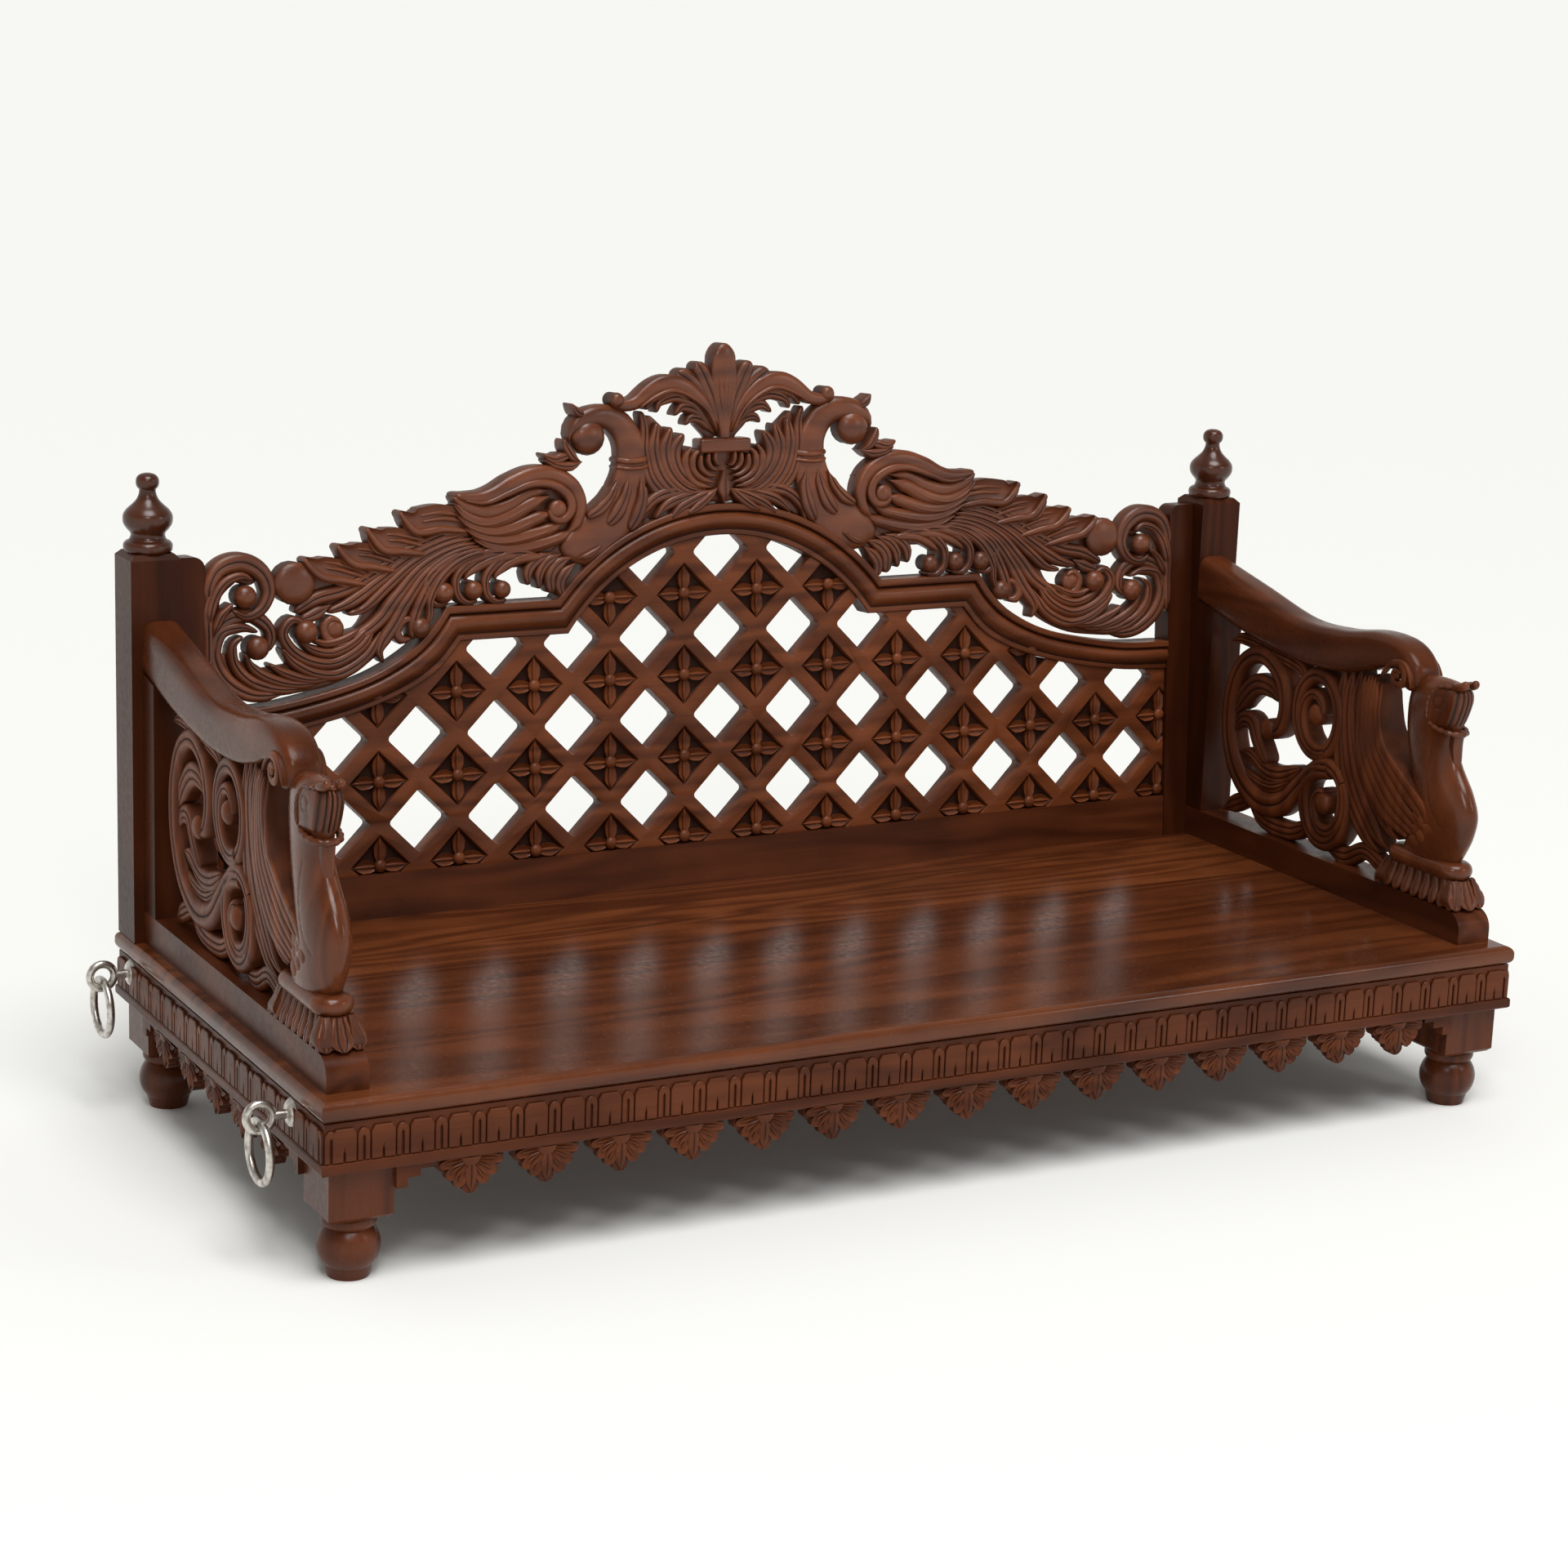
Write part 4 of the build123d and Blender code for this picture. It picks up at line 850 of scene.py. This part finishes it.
collar = bmesh.ops.create_cube(middle, size=1.0)["verts"]
for vert in collar:
    vert.co = (vert.co.x * 68, 536.5 + vert.co.y * 17, 1 + vert.co.z * 28)
collar_rims = {edge for vert in collar for edge in vert.link_edges}
bmesh.ops.bevel(middle, geom=[*collar, *collar_rims], offset=3.5, segments=4, profile=0.5,
                affect="EDGES", material=-1)
finished_piece("crest_carving_middle", middle, on_back, carved_wood, "carving", "crest_centre")

# ---------------------------------------------------------------- arm panels and armrests
# A board under each armrest is sawn and carved on both faces: a C-scroll with its leaf, two
# ringed scrolls and a long feathered wing that lies over the flank of the swan.

arm_wood = stained_wood("arm_wood", "z", carved_pale, carved_dark, 0.31, gloss=0.14, carved=True,
                        offset=(0.2, 1.1, 0.6))
arm_across = 711
on_arm = {side: Matrix.Scale(0.001, 4) @ Matrix(((0, 0, way, way * arm_across), (-1, 0, 0, 0),
                                                 (0, 1, 0, 0), (0, 0, 0, 1)))
          for side, way in (("left", -1), ("right", 1))}


def finished_arms(name, work, material, slot, *replaced, crease):
    """Make the same work into a piece of each arm."""
    for side, fit in on_arm.items():
        finished_piece(f"{name}_{side}", work.copy(), fit, material, slot,
                       *(f"{node}_{side}" for node in replaced), crease=crease)
    work.free()


panel = bmesh.new()
# C-scroll, from its curled head round to the lower ring
carve_band(panel, ((-118, 368), (-94, 376), (-84, 408), (-98, 445), (-138, 464), (-178, 446),
                   (-200, 400), (-198, 345), (-172, 298), (-125, 274), (-80, 282), (-46, 312),
                   (-18, 338), (14, 346)), (17, 24, 28, 26, 24, 26, 28, 30, 32, 34, 32, 28, 26, 22),
           top=10, crown=5, flutes=2, groove=2.2, both=True, ends=("round", "flat"))
carve_boss(panel, (-114, 372), 14, top=11, dome=0.55, both=True)
carve_bands(panel, (
    ((-196, 370, -176, 400, -150, 422, -120, 424, -94, 412), (14, 28, 30, 26, 12), 8),
    ((-190, 352, -172, 372, -152, 372, -138, 350, -116, 326), (12, 22, 24, 22, 16), 9),
    ((-178, 330, -150, 330, -118, 316, -84, 318, -48, 334), (12, 20, 24, 24, 13), 8),
    ((-168, 312, -140, 300, -104, 298, -68, 312), (10, 16, 18, 10), 7),
    # leaves that fill the corners up to the rails
    ((-212, 468, -180, 476, -110, 470, -60, 462, -40, 440), (12, 18, 17, 20, 12), 7),
    ((-60, 432, -44, 412, -52, 380), (16, 26, 14), 7),
    ((-208, 244, -178, 260, -150, 272), (16, 24, 20), 6),
    ((-152, 268, -110, 250, -60, 250, -30, 262), (16, 24, 24, 22), 7),
    ((16, 246, 56, 246, 92, 262, 132, 250), (18, 24, 22, 22), 6),
    ((40, 350, 62, 356, 84, 340), (12, 18, 10), 6, 2),
), flutes=3, crown=3.6, groove=1.6, both=True)
# Ringed scrolls, each with a band that winds in to a ball
for (u, z), start in (((-16, 412), -60), ((10, 303), 40)):
    turns = [radians(start + 15 * i) for i in range(25)]
    carve_band(panel, [(u + 42 * cos(turn), z + 50 * sin(turn)) for turn in turns], 21, top=10,
               crown=4.5, flutes=2, groove=1.6, both=True, ends=("flat", "flat"))
    turns = [(radians(start - 15 * i), 1 - 0.72 * i / 20) for i in range(21)]
    wound = [(u + 40 * cos(turn) * share, z + 48 * sin(turn) * share) for turn, share in turns]
    carve_band(panel, wound, (17, 20, 18, 15, 11), top=11, crown=4.5, flutes=2, both=True,
               ends=("flat", "round"))
    carve_boss(panel, (u, z), 14, top=11, dome=0.6, both=True)
# Long feathers from under the armrest to the lotus, and the wing that overlaps them
for order, spine in enumerate((
    ((30, 484), (29, 410), (44, 340), (92, 284), (124, 268)),
    ((48, 486), (45, 420), (65, 350), (116, 290), (142, 277)),
    ((66, 488), (62, 430), (87, 362), (140, 304), (162, 294)),
)):
    carve_band(panel, spine, (20, 27, 30, 26, 14), top=9 + 1.2 * order, crown=3.2, flutes=2,
               groove=2.0, both=True, ends=("point", "point"), step=7)
wing_spines = (
    (((78, 482), (74, 440), (84, 382), (128, 327), (184, 304)), 18),
    (((87, 484), (83, 440), (94, 386), (139, 335), (194, 310)), 19),
    (((94, 485), (91, 440), (104, 390), (150, 343), (203, 316)), 19.8),
    (((100, 484), (99, 440), (113, 396), (160, 352), (211, 322)), 20.4),
    (((105, 480), (106, 440), (122, 402), (170, 361), (219, 332)), 20.8),
)
carve_band(panel, ((90, 478), (90, 440), (104, 388), (150, 340), (198, 318)), (26, 38, 48, 54, 40),
           top=15.5, crown=2.5, both=True, ends=("round", "round"), step=8)
for spine, top in wing_spines:
    carve_band(panel, spine, (8, 11.5, 13, 13, 8), top=(top - 4, top - 2, top, top, top - 1),
               crown=2.8, both=True, step=7)
# Rim of the wing and the scaled lappet at its tip
carve_band(panel, ((110, 478), (112, 438), (129, 404), (176, 371), (220, 343), (226, 316)),
           (8, 9, 10, 11, 12, 9), top=(14, 18, 21.5, 22, 22, 21), crown=2.2, both=True, step=7)
for row, (u, z) in enumerate(((228, 324), (216, 313), (216, 330), (203, 304), (204, 318),
                              (203, 333))):
    for side in (-1, 1):
        made = bmesh.ops.create_uvsphere(panel, u_segments=14, v_segments=8, radius=9.5)["verts"]
        for vert in made:
            vert.co = (vert.co.x * 1.2 + vert.co.z * 0.2 + u, vert.co.y + z,
                       side * (21.2 - 0.4 * row) + vert.co.z * 0.35)
finished_arms("arm_scroll_carving", panel, arm_wood, "carving", "arm_scroll_panel", crease=44)

# Armrests, sawn to their sweep, rounded over along the top and rolled down at the nose.
# Each place gives the upper and the lower edge.
rest_rows, rest_columns = 90, 64
sweep = even_stations(((-270, 569, -270, 511), (-168, 548, -168, 487), (-62, 526, -62, 474),
                       (21, 528, 21, 475), (85, 538, 80, 487), (128, 538, 112, 498),
                       (155, 531, 130, 500), (174, 517, 140, 499), (182, 502, 146, 496),
                       (180, 488, 150, 491), (170, 480, 153, 487)), rest_rows)


def armrest_spot(row, column):
    """Place on the armrest, fully rounded on top, near flat below and narrower at the nose."""
    top_u, top_z, low_u, low_z = sweep[row][0]
    turn = column * 2 * pi / rest_columns
    over, aside = sin(turn), cos(turn)
    share = 0.5 + 0.5 * (abs(over) ** 0.62 if over > 0 else -abs(over) ** 0.3)
    half = 23 * (1 - 0.16 * max(0.0, (row - 62) / 28) ** 3)
    return (low_u + (top_u - low_u) * share, low_z + (top_z - low_z) * share,
            half * (abs(aside) ** (0.5 if over > 0 else 0.3)) * (1 if aside > 0 else -1)), 0.0


rest = bmesh.new()
closed_skin(rest, rest_rows, rest_columns, armrest_spot)
armrest_wood = stained_wood("armrest_wood", "y", (0.096, 0.0245, 0.0076), (0.060, 0.0146, 0.0045),
                            0.25, gloss=0.16, offset=(1.2, 0.8, 0.4))
finished_arms("armrest_swept", rest, armrest_wood, "frame", "armrest", crease=50)

# Small volute and curled leaf carved on each side of the armrest, behind its rolled front
roll = bmesh.new()
carve_volute(roll, (150, 496), 17, 4.5, 150, -330, (5, 9, 9, 8, 7), top=24.4, crown=1.8, foot=18,
             step=5)
carve_boss(roll, (150, 496), 4.5, top=24.6, foot=18, dome=0.5)
carve_band(roll, ((118, 489), (128, 502), (142, 512), (160, 512), (172, 500), (176, 486)),
           (3, 5, 6.5, 7, 6, 3), top=23.6, crown=1.8, foot=18, ends=("point", "point"), step=6)
add_mirrored(roll, Matrix.Scale(-1, 4, (0, 0, 1)))
finished_arms("armrest_volutes", roll, arm_wood, "carving", crease=44)

# ---------------------------------------------------------------- swans
# A swan's breast, neck and head cut in the round stand at the front of each arm, on a
# rounded collar over a ring of lotus petals, and are polished brighter than the panels.

swan_wood = stained_wood("swan_wood", "z", (0.122, 0.0320, 0.0102), (0.080, 0.0198, 0.0061), 0.22,
                         gloss=0.30, carved=True, offset=(0.5, 0.3, 1.4), bump=0.02)
# Height, back, front and half width
swan_form = ((288, 164, 260, 20), (300, 168, 268, 22), (322, 173, 279, 23.3),
             (348, 176, 283.5, 23.5), (374, 172, 272, 22), (403, 160, 250, 18.8),
             (428, 153, 240, 17), (447, 151, 243, 17.6), (468, 152, 252, 18.6),
             (484, 157, 256.5, 18.6), (495, 166, 254, 15.5), (502, 182, 241, 9),
             (504.5, 200, 222, 2.5))
swan_rows, swan_columns = 110, 120
swan_lines = even_stations(swan_form, swan_rows)


def swan_spot(row, column):
    """Place on the swan, with the ribs of its face, its eye rings and the line of its wing."""
    high, rear, front, half = swan_lines[row][0]
    angle = column * 2 * pi / swan_columns
    ahead, aside = cos(angle), sin(angle)
    middle, reach = (rear + front) / 2, (front - rear) / 2
    # depth is the hollow value: painted shade in the grooves of the face, the eye rings and the
    # line of the wing
    depth = 0.0
    # The mask of the face: squared off in front and ribbed from the crown down to the ruffle
    in_face = min(1.0, max(0.0, (high - 449) / 5)) * min(1.0, max(0.0, (499 - high) / 4))
    if ahead > 0:
        off_front = abs(angle if angle < pi else angle - 2 * pi) / (pi / 2)
        square = 1 + in_face * 0.16 * (1 - abs(2 * off_front - 1)) ** 2
        rib = in_face * max(0.0, 1 - (abs(aside) / 0.93) ** 8)
        groove = abs(sin(aside * 10.5)) ** 0.6
        half *= square
        reach = reach * square - rib * (0.8 + 2.6 * (1 - groove))
        depth = rib * (1 - groove) * 1.5
    along = middle + reach * ahead
    # Shallow eye ring on each cheek
    eye_ring = max(0.0, 1 - abs(hypot(along - 222, high - 479) - 8) / 2.2)
    dent = eye_ring * 1.2
    depth = max(depth, dent * 0.5)
    # Curved line where the breast meets the wing
    if 330 < high < 420:
        line = max(0.0, 1 - abs(hypot(along - 300, high - 402) - 86) / 2.0)
        dent += line * 0.9
        depth = max(depth, line * 0.5)
    return (along, high, (half - dent) * aside), depth


swan = bmesh.new()
closed_skin(swan, swan_rows, swan_columns, swan_spot)


def bent_rod(work, path, radius, wave=0.0, waves=0, rows=36, columns=12):
    """Rod along places (u, z, w), drawn in at both ends, with a ruffled rim if it waves."""
    run = even_stations(path, rows)

    def rod_spot(row, column):
        spot, along = run[row]
        angle = column * 2 * pi / columns
        aside = along.cross(Vector((0, 1, 0))).normalized()
        rise = aside.cross(along).normalized()
        ruffle = sin(waves * 2 * pi * row / rows)
        swell = radius * sqrt(max(0.02, 1 - abs(2 * row / rows - 1) ** 6)) * (1 + wave * ruffle)
        # Troughs of a ruffle carry painted shade
        return (spot + (aside * cos(angle) + rise * sin(angle)) * swell,
                0.35 if wave and ruffle < -0.5 else 0.0)

    closed_skin(work, rows, columns, rod_spot)


# Ruffle under the face and the scalloped edge of the crown above it
bent_rod(swan, ((205, 452, 17.5), (222, 447, 18.6), (238, 444, 14.5), (246, 443, 7), (248, 443, 0),
                (246, 443, -7), (238, 444, -14.5), (222, 447, -18.6), (205, 452, -17.5)), 3.6,
         wave=0.2, waves=11)
bent_rod(swan, ((212, 494, 15.5), (232, 498, 13.5), (246, 499, 8.5), (251, 500, 0),
                (246, 499, -8.5), (232, 498, -13.5), (212, 494, -15.5)), 2.6, wave=0.28, waves=8)
# Edges of the hood that run down behind the cheeks
for side in (-1, 1):
    bent_rod(swan, ((216, 496, 14.5 * side), (207, 484, 18.4 * side), (203, 468, 18.9 * side),
                    (204, 452, 17.8 * side)), 2.4, wave=0.1, waves=6)
    # Ear tuft at the brow
    bent_rod(swan, ((236, 498, 8 * side), (246, 501, 9.5 * side), (254, 503, 8.5 * side),
                    (260, 508, 6 * side)), 5.2)


def add_cut(work, fit, *cut, **settings):
    """Cut one band, and add it to the work where the fit puts it."""
    shape = bmesh.new()
    carve_band(shape, *cut, **settings)
    shape = stored(shape)
    repeated(work, shape, [fit])
    bpy.data.meshes.remove(shape)


# Bill: a pointed tongue laid down the front of the neck
down_neck = Matrix(((0, 0, 1, 239.5), (0, 1, 0, 0), (1, 0, 0, 0), (0, 0, 0, 1)))
add_cut(swan, down_neck, ((0, 446), (0, 430), (0, 412), (0, 393)), (15, 15, 13, 6),
        top=(5, 3, 4.5, 6.5), crown=3.4, foot=-10, ends=("flat", "point"), step=5)

# Collar: a thick slab with a full round edge
collar_rows, collar_columns = 12, 80


def collar_spot(row, column):
    """Place on the collar, a slot-shaped ring round the foot of the swan."""
    tilt = radians(-90 + 180 * row / collar_rows)
    turn = column * 2 * pi / collar_columns
    end = 253 if cos(turn) > 0 else 167
    out = 12 + 11 * cos(tilt)
    return (end + out * cos(turn), 279 + 11 * sin(tilt), out * sin(turn)), 0.0


closed_skin(swan, collar_rows, collar_columns, collar_spot)

# Lotus: a core under the collar, ringed by petals whose round tips lie on the rail
for low, high, grow in ((237, 262, 0), (258, 270, -3)):
    core = bmesh.ops.create_cube(swan, size=1.0)["verts"]
    for vert in core:
        height, spread = (low, 1.0) if vert.co.y < 0 else (high, 0.9)
        vert.co = (214 + vert.co.x * (128 + grow) * spread, height, vert.co.z * (32 + grow))
petal_heights = (270, 258, 247, 237.5)
for side in (-1, 1):
    for i in range(9):
        lift = (i - 4) * 1.1
        on_flank = Matrix(((1, 0, 0, 146 + i * 16.2), (0, 1, 0, 0), (0, 0, side, 18 * side),
                           (0, 0, 0, 1)))
        add_cut(swan, on_flank, list(zip((-lift, 0, lift * 0.6, lift), petal_heights)),
                (9, 14, 17, 14), top=(-3, -1, 3.0, 6.0), crown=3.4, flutes=2, groove=1.5, foot=-8,
                ends=("flat", "round"), step=5)
for end, out in ((278, 1), (148, -1)):
    on_end = Matrix(((0, 0, out, end), (0, 1, 0, 0), (1, 0, 0, 0), (0, 0, 0, 1)))
    for a, width, top in ((-17, 22, (-7, -2, 3, 8)), (17, 22, (-7, -2, 3, 8)),
                          (0, 29, (-4, 1, 6, 12))):
        add_cut(swan, on_end, list(zip((a * 0.7, a * 0.85, a, a * 1.05), petal_heights)),
                (width * 0.6, width * 0.85, width * 1.05, width * 0.9), top=top, crown=3.2,
                flutes=3, groove=1.7, foot=-12, ends=("flat", "round"), step=5)
finished_arms("swan_carving", swan, swan_wood, "carving", "swan", crease=40)

# ---------------------------------------------------------------- finials
# Each post is topped by an onion finial turned in one piece: a bulb on a torus and a
# fillet, drawn in to a slim neck under a small flat cap.

finial_wood = stained_wood("finial_wood", "z", (0.066, 0.0165, 0.0052), (0.044, 0.0106, 0.0033),
                           0.24, gloss=0.40, offset=(1.7, 0.2, 0.9))
# Radius and height from the foot of the finial to its tip
foot_profile = ((0, 0), (24.5, 0), (26.6, 1.5))
bulb_profile = ((26.6, 1.5), (27.4, 5), (27, 9), (24.2, 12), (21, 13.4), (20.2, 15), (19, 18),
                (19.6, 21.5), (23, 25.5), (26.4, 30.5), (27.7, 36), (26.9, 42), (23.2, 47.5),
                (17.7, 52.5), (13, 57.5), (10.3, 62.5), (9.2, 67), (9.4, 70), (11.4, 72),
                (12.7, 75.5), (12.8, 79.5), (11.6, 83), (8.5, 86), (4, 87.5))
finial_tip = (0, 87.8)
post_across, post_back, post_top = 0.717, 0.299, 0.643
turned = [*foot_profile, *(tuple(spot) for spot, _ in even_stations(bulb_profile, 70)[1:]),
          finial_tip]
for side, way in (("left", -1), ("right", 1)):
    finial = bmesh.new()
    rim = [finial.verts.new((radius, 0, high)) for radius, high in turned]
    chain = [finial.edges.new(pair) for pair in zip(rim, rim[1:])]
    bmesh.ops.spin(finial, geom=[*rim, *chain], cent=(0, 0, 0), axis=(0, 0, 1), angle=2 * pi,
                   steps=48, use_merge=True)
    bmesh.ops.remove_doubles(finial, verts=finial.verts, dist=0.01)
    on_post = Matrix.Translation((way * post_across, post_back, post_top)) @ Matrix.Scale(0.001, 4)
    finished_piece(f"finial_turned_{side}", finial, on_post, finial_wood, "frame", f"finial_{side}",
                   crease=50)

# ---------------------------------------------------------------- hanging hardware
# Eye bolts through the aprons and plain welded rings, nickel plated and worn, each eye on
# a small domed rosette with a washer and nut behind the board.


def worn_nickel():
    """Nickel plate with fine scratches and duller, browner patches."""
    material = bpy.data.materials.new("worn_nickel")
    material.use_nodes = True
    tree = material.node_tree
    shader = tree.nodes["Principled BSDF"]
    coord = place(tree, "ShaderNodeTexCoord")
    patch = noise(tree, coord.outputs["Object"], 120.0, 4.0)
    colour = blended(tree, remap(tree, patch, 0.42, 0.72), (0.62, 0.59, 0.55, 1),
                     (0.27, 0.22, 0.18, 1))
    tree.links.new(colour, shader.inputs["Base Color"])
    tree.links.new(remap(tree, patch, 0.3, 0.7, 0.2, 0.45), shader.inputs["Roughness"])
    shader.inputs["Metallic"].default_value = 1.0
    return material


nickel = worn_nickel()
for corner in corners:
    finish_nodes(nickel, f"eye_bolt_{corner}", f"hanging_ring_{corner}", f"eye_rosette_{corner}",
                 f"eye_nut_{corner}")

# ---------------------------------------------------------------- floor, lamps and camera
# A plain pale floor in a white studio: a broad soft lamp over the front, pale walls under a
# darker ceiling, and two small soft boxes for the highlights on the polish.

floor_mesh = bmesh.new()
bmesh.ops.create_grid(floor_mesh, x_segments=1, y_segments=1, size=600.0)
studio_floor = stand("studio_floor", stored(floor_mesh, "studio_floor"))
floor_paint = bpy.data.materials.new("floor_paint")
floor_paint.use_nodes = True
paint = floor_paint.node_tree.nodes["Principled BSDF"]
paint.inputs["Base Color"].default_value = (0.82, 0.82, 0.797, 1)
paint.inputs["Roughness"].default_value = 0.9
paint.inputs["Specular IOR Level"].default_value = 0.0
studio_floor.data.materials.append(floor_paint)

world = bpy.data.worlds.new("studio")
bpy.context.scene.world = world
world.use_nodes = True
sky = world.node_tree
sky.nodes.clear()
aim = place(sky, "ShaderNodeTexCoord")
split = place(sky, "ShaderNodeSeparateXYZ", {0: aim.outputs["Generated"]})
# The ceiling is darker than the walls, and darkest over the front
ceiling = remap(sky, split.outputs["Y"], -0.5, 0.6, 0.15, 0.55)
strength = place(sky, "ShaderNodeMix",
                 {0: remap(sky, split.outputs["Z"], 0.2, 0.45, ease="SMOOTHSTEP")},
                 data_type="FLOAT")
strength.inputs[2].default_value = 0.92
sky.links.new(ceiling, strength.inputs[3])
glow = place(sky, "ShaderNodeBackground",
             {"Color": (0.92, 0.92, 0.888, 1), "Strength": strength.outputs[0]})
place(sky, "ShaderNodeOutputWorld", {"Surface": glow.outputs[0]})


def aimed(name, light, towards):
    """Lamp whose light comes from the given direction."""
    lamp = stand(name, light)
    lamp.rotation_euler = Vector(towards).to_track_quat("Z", "Y").to_euler()
    return lamp


key_light = bpy.data.lights.new("key", "SUN")
key_light.energy = 2.6
key_light.angle = radians(34)
aimed("key", key_light, (-0.03, -0.38, 0.92))
seat_middle = Vector((0, 0, 0.35))
for name, stand_at, energy in (("box_left", (-1.7, -2.9, 2.9), 24.0),
                               ("box_right", (2.6, -2.9, 2.2), 12.0)):
    box_light = bpy.data.lights.new(name, "AREA")
    box_light.energy = energy
    box_light.size = 0.7
    aimed(name, box_light, Vector(stand_at) - seat_middle).location = stand_at

camera_data = bpy.data.cameras.new("camera")
camera_data.sensor_width = 36.0
camera_data.lens = 78.85
camera_data.clip_end = 1500.0
camera = stand("camera", camera_data)
yaw, pitch, roll = 0.502683, -0.239679, 0.0368681
ahead = Vector((sin(yaw) * cos(pitch), cos(yaw) * cos(pitch), sin(pitch)))
level = Vector((cos(yaw), -sin(yaw), 0))
above = level.cross(ahead)
right = level * cos(roll) + above * sin(roll)
upward = -level * sin(roll) + above * cos(roll)
view = Matrix((right, upward, -ahead)).transposed().to_4x4()
view.translation = Vector((-1.90185, -3.34129, 1.32277))
camera.matrix_world = view
bpy.context.scene.camera = camera

bpy.context.scene.view_settings.view_transform = "Standard"
